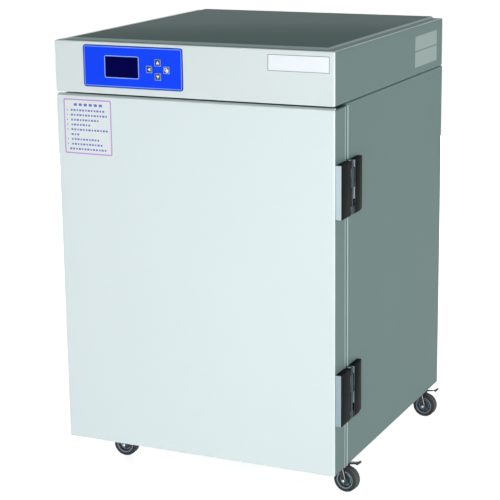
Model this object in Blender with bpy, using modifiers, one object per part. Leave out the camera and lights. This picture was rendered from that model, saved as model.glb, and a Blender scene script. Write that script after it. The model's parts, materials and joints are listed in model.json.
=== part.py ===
"""Water-jacketed laboratory incubator on castors, as an assembly of separate pieces.

Cabinet coordinates: x runs to the right, y from the door's front face to the rear and
z up from the floor.  The empty "incubator" shifts the whole, so that the origin lies
on the floor under the middle of the overall box.  Lengths are in metres.
"""

import math

import bmesh
import bpy
from mathutils import Matrix, Vector

# Cabinet
cabinet_width = 0.575
cabinet_depth = 0.605
sheet = 0.0015
bend = 0.003
touch = 0.0003
small_round = 0.001
head_height = 0.098
head_seam = 0.001
seam_inset = 0.003
case_flange = 0.036
rear_inset = 0.002
base_thickness = 0.0025

# Door
door_height = 0.695
door_thickness = 0.057
door_skin = 0.0025
door_seal_gap = 0.003
door_head_gap = 0.006
door_rim = 0.032
door_round = 0.002
gasket_width = 0.018
gasket_inset = 0.008
gasket_corner = 0.010
liner_dish_depth = 0.008
liner_dish_inset = 0.060
pull_length = 0.110
pull_depth = 0.022
pull_width = 0.030
pull_wall = 0.002
pull_round = 0.002

# Door hinges
hinge_height = 0.100
hinge_inset = 0.150
hinge_proud = 0.0125
hinge_leaf_front = 0.003
hinge_rear_reach = 0.057
hinge_flat = 0.026
hinge_setback = 0.010
hinge_tail = 0.0085
knuckle_radius = 0.0055
hinge_pin_radius = 0.0025
hinge_bore_gap = 0.0006
knuckle_gap = 0.0004
pin_cap_height = 0.0022
pin_cap_round = 0.0015
knuckle_shares = (0.13, 0.37, 0.35, 0.15)

# Chamber, water jacket and inner door
chamber_side_gap = 0.0875
chamber_top_gap = 0.085
chamber_floor_rise = 0.110
chamber_depth = 0.400
chamber_corner = 0.0045
jacket_gap = 0.030
sump_gap = 0.045
recess_depth = 0.030
ledge_reach = 0.008
ledge_height = 0.007
ledge_count = 4
ledge_margin = 0.012
ledge_slope = 0.6
glass_frame_gap = 0.005
glass_seat_gap = 0.0015
glass_frame_depth = 0.012
glass_frame_face = 0.018
glass_thickness = 0.005
glass_groove = 0.010
glass_pivot_inset = 0.0035
glass_pivot_radius = 0.003
glass_pivot_length = 0.0042
glass_corner = 0.003
pivot_block_inner = 0.009
pivot_block_outer = 0.007
catch_height = 0.030
catch_depth = 0.010
catch_gap = 0.001
knob_radius = 0.008
knob_reach = 0.015

# Shelves
shelf_side_gap = 0.003
shelf_front_gap = 0.016
shelf_rear_gap = 0.020
shelf_rod_radius = 0.0025
shelf_wire_radius = 0.0015
shelf_wire_pitch = 0.032
shelf_corner = 0.018

# Control panel
fascia_thickness = 0.003
fascia_round = 0.0018
keypad_width = 0.211
keypad_height = 0.0795
keypad_centre_x = -0.1192
keypad_centre_rise = 0.0526
keypad_corner = 0.005
keypad_proud = 0.0008
pocket_depth = 0.0015
window_width = 0.0705
window_height = 0.0395
window_centre_x = -0.1421
window_centre_rise = 0.0523
window_ledge = 0.003
window_corner = 0.002
key_size = 0.0130
key_gap = 0.0004
key_corner = 0.0015
key_proud = 0.0005
key_travel = 0.0006
key_stem_radius = 0.0025
key_centre_x = -0.0654
key_centre_rise = 0.0507
key_step_x = 0.0181
key_step_z = 0.0131
board_gap = 0.011
board_thickness = 0.0016
board_height = 0.068
board_side_gap = 0.004
post_inset = 0.006
post_radius = 0.003
key_switch_size = 0.006
cover_rise = 0.0035
cover_side_inset = 0.024
cover_front_inset = 0.030
cover_rear_inset = 0.001
cover_round = 0.0012

# Rear fittings
filler_x = -0.150
filler_drop = 0.018
filler_pipe_radius = 0.008
filler_cup_radius = 0.018
filler_cup_wall = 0.003
filler_cup_height = 0.046
filler_reach = 0.026
lid_thickness = 0.003
lid_arm = 0.022
lid_ear = 0.003
lid_pin_radius = 0.0015
lid_knuckle_radius = 0.0028
overflow_x = -0.090
overflow_drop = 0.010
overflow_radius = 0.0045
overflow_reach = 0.020
overflow_nut_radius = 0.009
overflow_nut_length = 0.0035
hose_barb = 0.0012
hose_barb_length = 0.007
drain_x = -0.150
drain_rise = 0.014
drain_pipe_radius = 0.006
drain_reach = 0.040
drain_nut_radius = 0.011
drain_nut_length = 0.0045
drain_body_offset = 0.016
drain_body_radius = 0.010
drain_body_half = 0.009
drain_boss_radius = 0.006
drain_boss_height = 0.015
drain_stem_radius = 0.003
drain_stem_seat = 0.011
handle_height = 0.020
handle_length = 0.036
handle_width = 0.009
handle_thickness = 0.0027
pipe_bore_radius = 0.002
fitting_gap = 0.0004
probe_radius = 0.003
probe_reach = 0.060
probe_drop = 0.060
heater_radius = 0.0045
heater_half_span = 0.080
heater_front_gap = 0.070
heater_tail = 0.012
terminal_pocket = 0.030
inlet_x = 0.150
inlet_flange_width = 0.080
inlet_flange_height = 0.034
inlet_flange_thickness = 0.0025
inlet_body_depth = 0.024
inlet_lip = 0.0045
socket_width = 0.0245
socket_height = 0.0165
socket_depth = 0.018
socket_corner = 0.004
socket_offset = 0.018
socket_pin_recess = 0.0055
socket_pin_pitch = 0.007
socket_pin_width = 0.002
socket_pin_height = 0.004
socket_pin_lift = 0.0025
rocker_width = 0.013
rocker_radius = 0.0095
rocker_tilt = 10.0
rocker_face = 0.0044
rocker_set_back = 0.004
rocker_well = 0.016
vent_count = 7
vent_pitch = 0.012
vent_width = 0.004
vent_height = 0.050

# Castors
wheel_radius = 0.0254
tread_width = 0.021
tyre_thickness = 0.0070
tyre_shoulder = 0.0045
wheel_sides = 24
hub_rim = 0.0030
hub_web = 0.0040
hub_boss = 0.0040
hub_draft = 0.0008
hub_ribs = 6
rib_thickness = 0.0016
rib_recess = 0.0030
axle_radius = 0.0030
axle_gap = 0.0004
bolt_radius = 0.0048
bolt_height = 0.0025
fork_gap = 0.0010
fork_sheet = 0.0025
fork_leg_top = 0.0135
fork_foot = 0.0050
crown_clearance = 0.0088
crown_back = 0.0150
crown_front = 0.0235
crown_flange = 0.0025
race_height = 0.0050
race_radius = 0.0160
castor_plate_size = 0.052
castor_plate_thickness = 0.0025
castor_plate_corner = 0.005
kingpin_radius = 0.0045
kingpin_head = 0.0065
kingpin_head_height = 0.003
castor_inset = 0.042
castor_front_inset = 0.051
castor_rear_inset = 0.028
castor_trail = 0.025
pedal_length = 0.033
pedal_width = 0.0125
pedal_sheet = 0.002
pedal_rise = 0.0066
pedal_roll_radius = 0.0026
pedal_roll_width = 0.015
brake_pin_radius = 0.0015
brake_lead = 0.007
brake_pivot_drop = 0.0036
brake_cam_reach = 0.003
brake_lift = 0.0008
castor_places = {
    "front_left": (-1, 0, 3.0),
    "front_right": (1, 0, -8.0),
    "rear_left": (-1, 1, -24.0),
    "rear_right": (1, 1, -2.0),
}

# Levels and places that follow from the sizes above
half_width = cabinet_width / 2
axle_height = wheel_radius * math.cos(math.pi / wheel_sides)
crown_bottom = axle_height + wheel_radius + crown_clearance
crown_top = crown_bottom + fork_sheet
brake_pivot_x = castor_trail - brake_lead
brake_pivot_z = crown_bottom - brake_pivot_drop
race_bottom = crown_top + touch
plate_bottom = race_bottom + race_height
body_bottom = plate_bottom + castor_plate_thickness + touch
door_bottom = body_bottom
door_top = door_bottom + door_height
head_bottom = door_top + door_head_gap
head_top = head_bottom + head_height
body_top = head_bottom - head_seam
body_front = door_thickness + door_seal_gap
frame_front = body_front + sheet + touch
frame_back = frame_front + sheet
inner_half_width = half_width - sheet - touch
inner_bottom = body_bottom + sheet + touch
inner_top = body_top - sheet - touch
rear_panel_back = cabinet_depth - rear_inset
rear_panel_front = rear_panel_back - sheet
base_top = inner_bottom + base_thickness
chamber_half = half_width - chamber_side_gap
chamber_bottom = body_bottom + chamber_floor_rise
chamber_top = door_top - chamber_top_gap
tank_half = chamber_half + sheet + jacket_gap + sheet
tank_bottom = chamber_bottom - sheet - sump_gap - sheet
tank_top = chamber_top + sheet + jacket_gap + sheet
ring_front = frame_front + recess_depth
ring_back = ring_front + sheet
chamber_front = ring_back + touch
chamber_back = chamber_front + chamber_depth
tank_front = chamber_front + sheet + touch
tank_back = chamber_back + sheet + jacket_gap + sheet
recess_half = tank_half - sheet
recess_bottom = chamber_bottom - (recess_half - chamber_half)
recess_top = chamber_top + (recess_half - chamber_half)
glass_half = recess_half - glass_frame_gap
glass_bottom = recess_bottom + glass_frame_gap
glass_top = recess_top - glass_frame_gap
glass_back = ring_front - glass_seat_gap
glass_front = glass_back - glass_frame_depth
glass_middle = (glass_front + glass_back) / 2
glass_pivot_x = glass_half - glass_pivot_inset
hinge_axis_x = half_width + hinge_proud - knuckle_radius
hinge_axis_y = body_front - door_seal_gap / 2
filler_z = tank_top - filler_drop
overflow_z = tank_top - overflow_drop
drain_z = tank_bottom + drain_rise
drain_body_y = cabinet_depth + drain_body_offset
heater_z = tank_bottom + sheet + sump_gap / 2
probe_z = chamber_top - probe_drop
key_front = -(keypad_proud + key_proud)
pocket_floor = pocket_depth
board_front = fascia_thickness + board_gap
part_back = cabinet_depth + max(drain_reach, filler_reach + filler_cup_radius)


# Scene and materials

def clear_scene():
    """Start from an empty scene."""
    for old in list(bpy.context.scene.objects):
        bpy.data.objects.remove(old, do_unlink=True)


def collection(name):
    """A collection linked to the scene."""
    made = bpy.data.collections.new(name)
    bpy.context.scene.collection.children.link(made)
    return made


def linear(channel):
    """An sRGB channel from 0 to 1, as the shader's linear value."""
    if channel <= 0.04045:
        return channel / 12.92
    return ((channel + 0.055) / 1.055) ** 2.4


def material(name, colour, roughness, metallic=0.0, alpha=1.0):
    """A Principled material from an sRGB colour in 0 to 255."""
    made = bpy.data.materials.new(name)
    made.use_nodes = True
    shader = made.node_tree.nodes["Principled BSDF"]
    red, green, blue = (linear(channel / 255) for channel in colour)
    shader.inputs["Base Color"].default_value = (red, green, blue, 1.0)
    shader.inputs["Roughness"].default_value = roughness
    shader.inputs["Metallic"].default_value = metallic
    shader.inputs["Alpha"].default_value = alpha
    made.diffuse_color = (red, green, blue, alpha)
    return made


# Basic shapes

def new_object(name, mesh):
    """An object for a mesh, in the collection of the pieces."""
    made = bpy.data.objects.new(name, mesh)
    pieces.objects.link(made)
    return made


def from_bmesh(name, shape, location=(0, 0, 0)):
    """An object from a finished bmesh."""
    mesh = bpy.data.meshes.new(name)
    shape.to_mesh(mesh)
    shape.free()
    made = new_object(name, mesh)
    made.location = location
    return made


def box(name, low, high, radius=0.0, segments=2, sharp=()):
    """A box between two corners; its edges are rounded, but for those on the sharp sides.

    A side is named by its axis and end, such as "-y" for the front.
    """
    low, high = Vector(low), Vector(high)
    shape = bmesh.new()
    bmesh.ops.create_cube(shape, size=1.0)
    bmesh.ops.scale(shape, vec=high - low, verts=shape.verts)
    if radius:
        half = (high - low) / 2
        edges = [edge for edge in shape.edges if not on_side(edge, half, sharp)]
        bmesh.ops.bevel(shape, geom=edges, offset=radius, segments=segments,
                        profile=0.5, affect="EDGES")
    return from_bmesh(name, shape, (low + high) / 2)


def on_side(edge, half, sides):
    """Whether both ends of an edge lie on one of the named sides of a centred box."""
    for side in sides:
        axis = "xyz".index(side[1])
        level = half[axis] if side[0] == "+" else -half[axis]
        if all(abs(vert.co[axis] - level) < 1e-7 for vert in edge.verts):
            return True
    return False


def rod(name, radius, start, end, sides=12, end_radius=None):
    """A cylinder or cone between two points."""
    start, end = Vector(start), Vector(end)
    shape = bmesh.new()
    bmesh.ops.create_cone(shape, cap_ends=True, segments=sides, radius1=radius,
                          radius2=radius if end_radius is None else end_radius,
                          depth=(end - start).length)
    turn = Vector((0, 0, 1)).rotation_difference(end - start).to_matrix()
    bmesh.ops.rotate(shape, cent=(0, 0, 0), matrix=turn, verts=shape.verts)
    return from_bmesh(name, shape, (start + end) / 2)


def turned(name, profile, sides=24, ring=False):
    """A turned piece about its own z axis; the profile's (radius, height) pairs run
    down the outer side, and a ring's profile closes on itself."""
    mesh = bpy.data.meshes.new(name)
    count = len(profile)
    links = [(i, (i + 1) % count) for i in range(count if ring else count - 1)]
    mesh.from_pydata([(radius, 0.0, height) for radius, height in profile], links, [])
    made = new_object(name, mesh)
    screw = made.modifiers.new("Turn", "SCREW")
    screw.axis = "Z"
    screw.steps = sides
    screw.render_steps = sides
    screw.use_merge_vertices = True
    screw.merge_threshold = 0.00001
    return made


def rounded(points, radius, steps=3):
    """The outline through the points with each corner rounded by an arc."""
    outline = []
    count = len(points)
    for i in range(count):
        corner = Vector(points[i])
        back = (Vector(points[i - 1]) - corner).normalized()
        ahead = (Vector(points[(i + 1) % count]) - corner).normalized()
        half_angle = back.angle(ahead) / 2
        middle = corner + (back + ahead).normalized() * (radius / math.sin(half_angle))
        start = corner + back * (radius / math.tan(half_angle)) - middle
        end = corner + ahead * (radius / math.tan(half_angle)) - middle
        for step in range(steps + 1):
            outline.append(middle + turn_towards(start, end, step / steps))
    return outline


def turn_towards(start, end, share):
    """The vector from start turned by a share of the angle to end, in the plane."""
    angle = start.angle_signed(end)
    return Vector((
        start.x * math.cos(angle * share) + start.y * math.sin(angle * share),
        start.y * math.cos(angle * share) - start.x * math.sin(angle * share),
    ))


def rectangle(width, height, centre=(0.0, 0.0)):
    """The four corners of a rectangle, in order."""
    x, y = centre
    return [(x - width / 2, y - height / 2), (x + width / 2, y - height / 2),
            (x + width / 2, y + height / 2), (x - width / 2, y + height / 2)]


def plate(name, outlines, low, high, axis="Z"):
    """A flat plate with the first outline as its edge and the others as its holes.

    It lies between two levels of its axis.  On axis Z an outline's points are (x, y),
    and on axis Y they are (x, z).
    """
    curve = bpy.data.curves.new(name, "CURVE")
    curve.dimensions = "2D"
    curve.fill_mode = "BOTH"
    curve.extrude = (high - low) / 2
    for outline in outlines:
        spline = curve.splines.new("POLY")
        spline.points.add(len(outline) - 1)
        for point, (x, y) in zip(spline.points, outline):
            point.co = (x, y, 0.0, 1.0)
        spline.use_cyclic_u = True
    drawn = new_object(name + "_outline", curve)
    if axis == "Y":
        drawn.matrix_world = Matrix.Translation((0, (low + high) / 2, 0)) @ Matrix.Rotation(
            math.radians(90), 4, "X")
    else:
        drawn.location.z = (low + high) / 2
    return meshed(name, drawn)


def tube(name, points, radius, resolution=2, cyclic=False):
    """A round bar through the points, with its ends closed."""
    curve = bpy.data.curves.new(name, "CURVE")
    curve.dimensions = "3D"
    curve.bevel_depth = radius
    curve.bevel_resolution = resolution
    curve.use_fill_caps = True
    spline = curve.splines.new("POLY")
    spline.points.add(len(points) - 1)
    for point, place in zip(spline.points, points):
        point.co = (*place, 1.0)
    spline.use_cyclic_u = cyclic
    return meshed(name, new_object(name + "_path", curve))


def meshed(name, drawn):
    """The mesh of a curve object, welded, in the curve's place."""
    bpy.context.view_layer.update()
    mesh = bpy.data.meshes.new_from_object(
        drawn.evaluated_get(bpy.context.evaluated_depsgraph_get()))
    shape = bmesh.new()
    shape.from_mesh(mesh)
    bmesh.ops.remove_doubles(shape, verts=shape.verts, dist=0.000005)
    bmesh.ops.recalc_face_normals(shape, faces=shape.faces)
    shape.to_mesh(mesh)
    shape.free()
    made = new_object(name, mesh)
    made.matrix_world = drawn.matrix_world.copy()
    bpy.data.objects.remove(drawn, do_unlink=True)
    return made


# Joining, cutting and placing

def combine(piece, other, operation):
    """Cut another shape from a piece, or join it on; the other becomes a guide."""
    other.parent = piece
    other.matrix_parent_inverse = piece.matrix_basis.inverted()
    for owner in list(other.users_collection):
        owner.objects.unlink(other)
    guides.objects.link(other)
    other.hide_render = True
    other.display_type = "WIRE"
    change = piece.modifiers.new(operation.title(), "BOOLEAN")
    change.operation = operation
    change.solver = "EXACT"
    change.object = other
    return piece


def cut(piece, *others):
    """Cut the other shapes from a piece."""
    for other in others:
        combine(piece, other, "DIFFERENCE")
    return piece


def join(piece, *others):
    """Join the other shapes to a piece."""
    for other in others:
        combine(piece, other, "UNION")
    return piece


def empty(name, location, parent=None, turn=0.0):
    """An empty that carries pieces, turned about z."""
    made = bpy.data.objects.new(name, None)
    made.empty_display_size = 0.02
    pieces.objects.link(made)
    made.location = location
    made.rotation_euler.z = turn
    made.parent = parent
    return made


def finish(piece, finish_material, pivot, keep_place=True, smooth=True):
    """Give a piece its material and its parent.

    A piece drawn in cabinet coordinates keeps its place; another is drawn in the
    coordinates of its parent.
    """
    piece.parent = pivot
    if keep_place:
        piece.matrix_parent_inverse = pivot.matrix_basis.inverted()
    if smooth and piece.type == "MESH":
        piece.data.shade_smooth()
        piece.data.set_sharp_from_angle(angle=math.radians(35))
    piece.data.materials.clear()
    piece.data.materials.append(finish_material)
    return piece


# Cabinet pieces

def outer_case():
    """The case: a wrap with bent edges and a flange round the door opening."""
    case = box("outer_case", (-half_width, body_front, body_bottom),
               (half_width, cabinet_depth, body_top), bend, 3, sharp=("+y",))
    inside = box("case_inside", (-half_width + sheet, body_front + sheet, body_bottom + sheet),
                 (half_width - sheet, cabinet_depth + sheet, body_top - sheet))
    mouth = box("case_mouth", (-half_width + case_flange, body_front - sheet,
                               body_bottom + case_flange),
                (half_width - case_flange, body_front + 2 * sheet, body_top - case_flange))
    return cut(case, inside, mouth)


def base_plate():
    """The stiff floor inside the case, which the castors are bolted through to."""
    return box("base_plate", (-inner_half_width, frame_back + touch, inner_bottom),
               (inner_half_width, rear_panel_front - touch, base_top))


def rear_panel():
    """The cover at the back, with holes for the water fittings."""
    panel = box("rear_panel", (-inner_half_width, rear_panel_front, inner_bottom),
                (inner_half_width, rear_panel_back, inner_top))
    for name, x, z, radius in water_pipes():
        cut(panel, rod("panel_hole_" + name, radius + fitting_gap,
                       (x, rear_panel_front - sheet, z), (x, rear_panel_back + sheet, z)))
    return panel


def water_pipes():
    """The pipes that leave the tank at the rear: name, x, z and radius."""
    return (("filler", filler_x, filler_z, filler_pipe_radius),
            ("overflow", overflow_x, overflow_z, overflow_radius),
            ("drain", drain_x, drain_z, drain_pipe_radius))


def front_frame():
    """The frame round the chamber's mouth, with the recess for the glass door."""
    frame = box("front_frame", (-inner_half_width, frame_front, inner_bottom),
                (inner_half_width, frame_back, inner_top))
    collar = box("frame_collar", (-tank_half, frame_front, recess_bottom - sheet),
                 (tank_half, ring_back, recess_top + sheet))
    recess = box("frame_recess", (-recess_half, frame_front - sheet, recess_bottom),
                 (recess_half, ring_front, recess_top))
    mouth = box("frame_mouth", (-chamber_half, ring_front - sheet, chamber_bottom),
                (chamber_half, ring_back + sheet, chamber_top))
    join(frame, collar)
    cut(frame, recess, mouth)
    for name, level, edge in (("low", recess_bottom, -1), ("high", recess_top, 1)):
        block_end = level - edge * (glass_frame_gap - touch * 2)
        bottom, top = sorted((level + edge * sheet / 2, block_end))
        join(frame, box("pivot_block_" + name,
                        (glass_pivot_x - pivot_block_inner, glass_front, bottom),
                        (glass_pivot_x + pivot_block_outer, glass_back, top), small_round, 1))
        cut(frame, rod("pivot_bore_" + name, glass_pivot_radius + fitting_gap,
                       (glass_pivot_x, glass_middle, level),
                       (glass_pivot_x, glass_middle, block_end - edge * sheet), 8))
    catch_low = (chamber_bottom + chamber_top - catch_height) / 2
    join(frame, box("catch_magnet", (-recess_half - sheet / 2, ring_front - catch_depth, catch_low),
                    (-recess_half + glass_frame_gap - catch_gap, ring_front + sheet / 2,
                     catch_low + catch_height), small_round, 1))
    return frame


def inner_chamber():
    """The chamber: a box with a front flange and pressed ledges for the shelves."""
    chamber = box("inner_chamber", (-tank_half, chamber_front, tank_bottom),
                  (tank_half, chamber_front + sheet, tank_top))
    shell = box("chamber_shell", (-chamber_half - sheet, chamber_front, chamber_bottom - sheet),
                (chamber_half + sheet, chamber_back + sheet, chamber_top + sheet),
                chamber_corner + sheet, 2, sharp=("-y",))
    inside = box("chamber_inside", (-chamber_half, chamber_front - sheet, chamber_bottom),
                 (chamber_half, chamber_back, chamber_top), chamber_corner, 2, sharp=("-y",))
    join(chamber, shell)
    cut(chamber, inside)
    for level in ledge_levels():
        for side in (-1, 1):
            join(chamber, shelf_ledge(side, level))
    return cut(chamber, rod("chamber_probe_hole", probe_radius + fitting_gap,
                            (0, chamber_back - sheet, probe_z),
                            (0, chamber_back + 2 * sheet, probe_z), 12))


def ledge_levels():
    """The tops of the ledges that the shelves rest on."""
    step = (chamber_top - chamber_bottom) / (ledge_count + 1)
    return [chamber_bottom + step * (i + 1) for i in range(ledge_count)]


def shelf_ledge(side, level):
    """One pressed ledge on a side wall, sloped underneath."""
    wall = side * (chamber_half + sheet / 2)
    tip = side * (chamber_half - ledge_reach)
    ledge = box("ledge_%d_%d" % (side, round(level * 1000)),
                (min(wall, tip), chamber_front + ledge_margin, level - ledge_height),
                (max(wall, tip), chamber_back - ledge_margin, level))
    for vert in ledge.data.vertices:
        if vert.co.x * side < 0 and vert.co.z < 0:
            vert.co.z += ledge_height * ledge_slope
    return ledge


def water_jacket():
    """The tank: a box round the chamber, open at the chamber's flange."""
    tank = box("water_jacket", (-tank_half, tank_front, tank_bottom),
               (tank_half, tank_back, tank_top), sheet, 1, sharp=("-y",))
    inside = box("tank_inside", (-tank_half + sheet, tank_front - sheet, tank_bottom + sheet),
                 (tank_half - sheet, tank_back - sheet, tank_top - sheet))
    cut(tank, inside)
    for name, x, z, radius in tank_holes():
        cut(tank, rod("tank_hole_" + name, radius + fitting_gap,
                      (x, tank_back - 2 * sheet, z), (x, tank_back + sheet, z), 12))
    return tank


def tank_holes():
    """The holes in the tank's rear wall: name, x, z and radius of what passes."""
    return water_pipes() + (
        ("heater_left", -heater_half_span, heater_z, heater_radius),
        ("heater_right", heater_half_span, heater_z, heater_radius),
        ("probe", 0.0, probe_z, probe_radius))


def insulation():
    """The insulation between the tank and the case."""
    block = box("insulation", (-inner_half_width, frame_back + touch, base_top + touch),
                (inner_half_width, rear_panel_front - touch, inner_top))
    cut(block, box("insulation_cavity",
                   (-tank_half - touch, frame_front, tank_bottom - touch),
                   (tank_half + touch, tank_back + touch, tank_top + touch)))
    for name, x, z, radius in water_pipes():
        cut(block, rod("insulation_hole_" + name, radius + fitting_gap,
                       (x, tank_back - 2 * sheet, z), (x, rear_panel_front + sheet, z), 12))
    for name, x, z in (("heater_left", -heater_half_span, heater_z),
                       ("heater_right", heater_half_span, heater_z), ("probe", 0.0, probe_z)):
        half = terminal_pocket / 2
        cut(block, box("terminal_pocket_" + name, (x - half, tank_back - sheet, z - half),
                       (x + half, tank_back + terminal_pocket, z + half)))
    return block


def heater_element():
    """The tubular heater in the water under the chamber: a hairpin with both ends
    through the tank's rear wall."""
    back = tank_back + heater_tail
    bend_y = chamber_front + heater_front_gap + heater_half_span
    points = [(-heater_half_span, back, heater_z)]
    steps = 10
    for step in range(steps + 1):
        angle = math.pi * step / steps
        points.append((-heater_half_span * math.cos(angle),
                       bend_y - heater_half_span * math.sin(angle), heater_z))
    points.append((heater_half_span, back, heater_z))
    return tube("heater_element", points, heater_radius, 1)


def temperature_probe():
    """The sensor's sheath, from the chamber through the jacket to its terminals."""
    probe = rod("temperature_probe", probe_radius, (0, chamber_back - probe_reach, probe_z),
                (0, tank_back + terminal_pocket / 2, probe_z), 12)
    return join(probe, rod("probe_nut", 2 * probe_radius,
                           (0, tank_back + touch, probe_z),
                           (0, tank_back + terminal_pocket / 4, probe_z), 6))


# Water fittings at the rear

def filler_neck():
    """The filler: a cup at the back that feeds the tank through a pipe."""
    cup_y = cabinet_depth + filler_reach
    cup_bottom = filler_z - filler_pipe_radius - filler_cup_wall
    cup_top = cup_bottom + filler_cup_height
    neck = rod("filler_neck", filler_cup_radius, (filler_x, cup_y, cup_bottom),
               (filler_x, cup_y, cup_top), 16)
    pipe_start = tank_back - 2 * sheet
    join(neck, rod("filler_pipe", filler_pipe_radius, (filler_x, pipe_start, filler_z),
                   (filler_x, cup_y - filler_cup_wall, filler_z), 12))
    lid_y, lid_z = filler_hinge()
    for side in (-1, 1):
        left = filler_x + side * 2 * lid_ear - lid_ear / 2
        join(neck, box("filler_ear_%d" % side, (left, lid_y - lid_ear, cup_top - 3 * lid_ear),
                       (left + lid_ear, lid_y + lid_ear, lid_z + lid_ear), small_round, 1))
        join(neck, box("filler_arm_%d" % side, (left, lid_y, cup_top - 2.5 * lid_ear),
                       (left + lid_ear, cup_y - filler_cup_radius + filler_cup_wall / 2,
                        cup_top - 2 * touch)))
    cut(neck, rod("cup_bore", filler_cup_radius - filler_cup_wall,
                  (filler_x, cup_y, cup_bottom + filler_cup_wall),
                  (filler_x, cup_y, cup_top + filler_cup_wall), 16))
    cut(neck, rod("pipe_bore", filler_pipe_radius - filler_cup_wall,
                  (filler_x, pipe_start - sheet, filler_z), (filler_x, cup_y, filler_z), 8))
    cut(neck, rod("ear_bore", lid_pin_radius + fitting_gap, (filler_x - 4 * lid_ear, lid_y, lid_z),
                  (filler_x + 4 * lid_ear, lid_y, lid_z), 8))
    return neck


def filler_hinge():
    """The lid's hinge axis: its y and z."""
    cup_y = cabinet_depth + filler_reach
    cup_top = filler_z - filler_pipe_radius - filler_cup_wall + filler_cup_height
    return cup_y - lid_arm, cup_top + lid_thickness / 2 + touch


def filler_lid():
    """The hinged lid of the filler, with its knuckle and pin."""
    lid_y, lid_z = filler_hinge()
    cup_y = cabinet_depth + filler_reach
    low = lid_z - lid_thickness / 2
    half = 1.5 * lid_ear - fitting_gap
    pin = 2.5 * lid_ear - touch
    lid = rod("filler_lid", filler_cup_radius, (filler_x, cup_y, low),
              (filler_x, cup_y, low + lid_thickness), 16)
    join(lid, box("lid_tongue", (filler_x - half, lid_y, low),
                  (filler_x + half, cup_y - filler_cup_radius / 3, low + lid_thickness)))
    join(lid, rod("lid_knuckle", lid_knuckle_radius, (filler_x - half, lid_y, lid_z),
                  (filler_x + half, lid_y, lid_z), 12))
    join(lid, rod("lid_pin", lid_pin_radius, (filler_x - pin, lid_y, lid_z),
                  (filler_x + pin, lid_y, lid_z), 8))
    return lid


def overflow_pipe():
    """The overflow: a hose tail with a nut against the rear panel."""
    end = cabinet_depth + overflow_reach
    pipe = rod("overflow_pipe", overflow_radius, (overflow_x, tank_back - 2 * sheet, overflow_z),
               (overflow_x, end, overflow_z), 12)
    seat = rear_panel_back + touch
    join(pipe, rod("overflow_nut", overflow_nut_radius, (overflow_x, seat, overflow_z),
                   (overflow_x, seat + overflow_nut_length, overflow_z), 6))
    join(pipe, rod("overflow_barb", overflow_radius + hose_barb,
                   (overflow_x, end - hose_barb_length, overflow_z),
                   (overflow_x, end, overflow_z), 12, overflow_radius))
    return cut(pipe, rod("overflow_bore", pipe_bore_radius,
                         (overflow_x, tank_back - 3 * sheet, overflow_z),
                         (overflow_x, end + sheet, overflow_z), 8))


def drain_valve():
    """The drain: a ball valve on the tank's lowest pipe, with a hose tail."""
    back = cabinet_depth + drain_reach
    seat = rear_panel_back + touch
    middle = drain_body_y
    valve = rod("drain_valve", drain_pipe_radius, (drain_x, tank_back - 2 * sheet, drain_z),
                (drain_x, back, drain_z), 12)
    join(valve, rod("drain_nut", drain_nut_radius, (drain_x, seat, drain_z),
                    (drain_x, seat + drain_nut_length, drain_z), 6))
    join(valve, rod("drain_body", drain_body_radius, (drain_x, middle - drain_body_half, drain_z),
                    (drain_x, middle + drain_body_half, drain_z), 12))
    join(valve, rod("drain_boss", drain_boss_radius, (drain_x, middle, drain_z),
                    (drain_x, middle, drain_z + drain_boss_height), 16))
    join(valve, rod("drain_barb", drain_pipe_radius + hose_barb,
                    (drain_x, back - hose_barb_length, drain_z),
                    (drain_x, back, drain_z), 12, drain_pipe_radius - hose_barb))
    cut(valve, rod("drain_bore", pipe_bore_radius, (drain_x, middle + drain_body_half, drain_z),
                   (drain_x, back + sheet, drain_z), 8))
    return cut(valve, rod("stem_bore", drain_stem_radius + fitting_gap,
                          (drain_x, middle, drain_z + drain_stem_seat),
                          (drain_x, middle, drain_z + handle_height), 12))


def drain_handle():
    """The valve's quarter-turn lever, drawn about its stem."""
    hub_low = drain_boss_height + touch
    bar = (hub_low + handle_height) / 2
    handle = rod("drain_handle", drain_stem_radius, (0, 0, drain_stem_seat + touch),
                 (0, 0, handle_height), 12)
    join(handle, rod("handle_hub", drain_boss_radius, (0, 0, hub_low), (0, 0, handle_height), 16))
    return join(handle, box("handle_bar", (0, -handle_width / 2, bar - handle_thickness / 2),
                            (handle_length, handle_width / 2, bar + handle_thickness / 2),
                            small_round, 1))


# Control head

def head_shell():
    """The control housing, open at the fascia, with a plinth that makes the seam."""
    shell = box("head_shell", (-half_width, fascia_thickness + touch, head_bottom),
                (half_width, cabinet_depth, head_top), bend, 3, sharp=("-y",))
    join(shell, box("head_plinth",
                    (-half_width + seam_inset, body_front + seam_inset, body_top + touch),
                    (half_width - seam_inset, cabinet_depth - seam_inset,
                     head_bottom + sheet / 2)))
    cut(shell, box("head_inside",
                   (-half_width + sheet, 0, head_bottom + sheet),
                   (half_width - sheet, cabinet_depth - sheet, head_top - sheet)))
    first = -(vent_count - 1) / 2 * vent_pitch
    middle = (head_bottom + head_top) / 2
    for i in range(vent_count):
        x = first + i * vent_pitch - inlet_x / 2
        cut(shell, box("vent_%d" % i, (x - vent_width / 2, cabinet_depth - 2 * sheet,
                                       middle - vent_height / 2),
                       (x + vent_width / 2, cabinet_depth + sheet, middle + vent_height / 2)))
    half, height = inlet_window_half()
    return cut(shell, box("inlet_window", (inlet_x - half, cabinet_depth - 2 * sheet, middle - height),
                          (inlet_x + half, cabinet_depth + sheet, middle + height)))


def top_cover():
    """The raised cover plate on the head."""
    return box("top_cover", (-half_width + cover_side_inset, cover_front_inset, head_top + touch),
               (half_width - cover_side_inset, cabinet_depth - cover_rear_inset,
                head_top + cover_rise), cover_round, 2, sharp=("-z",))


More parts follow.
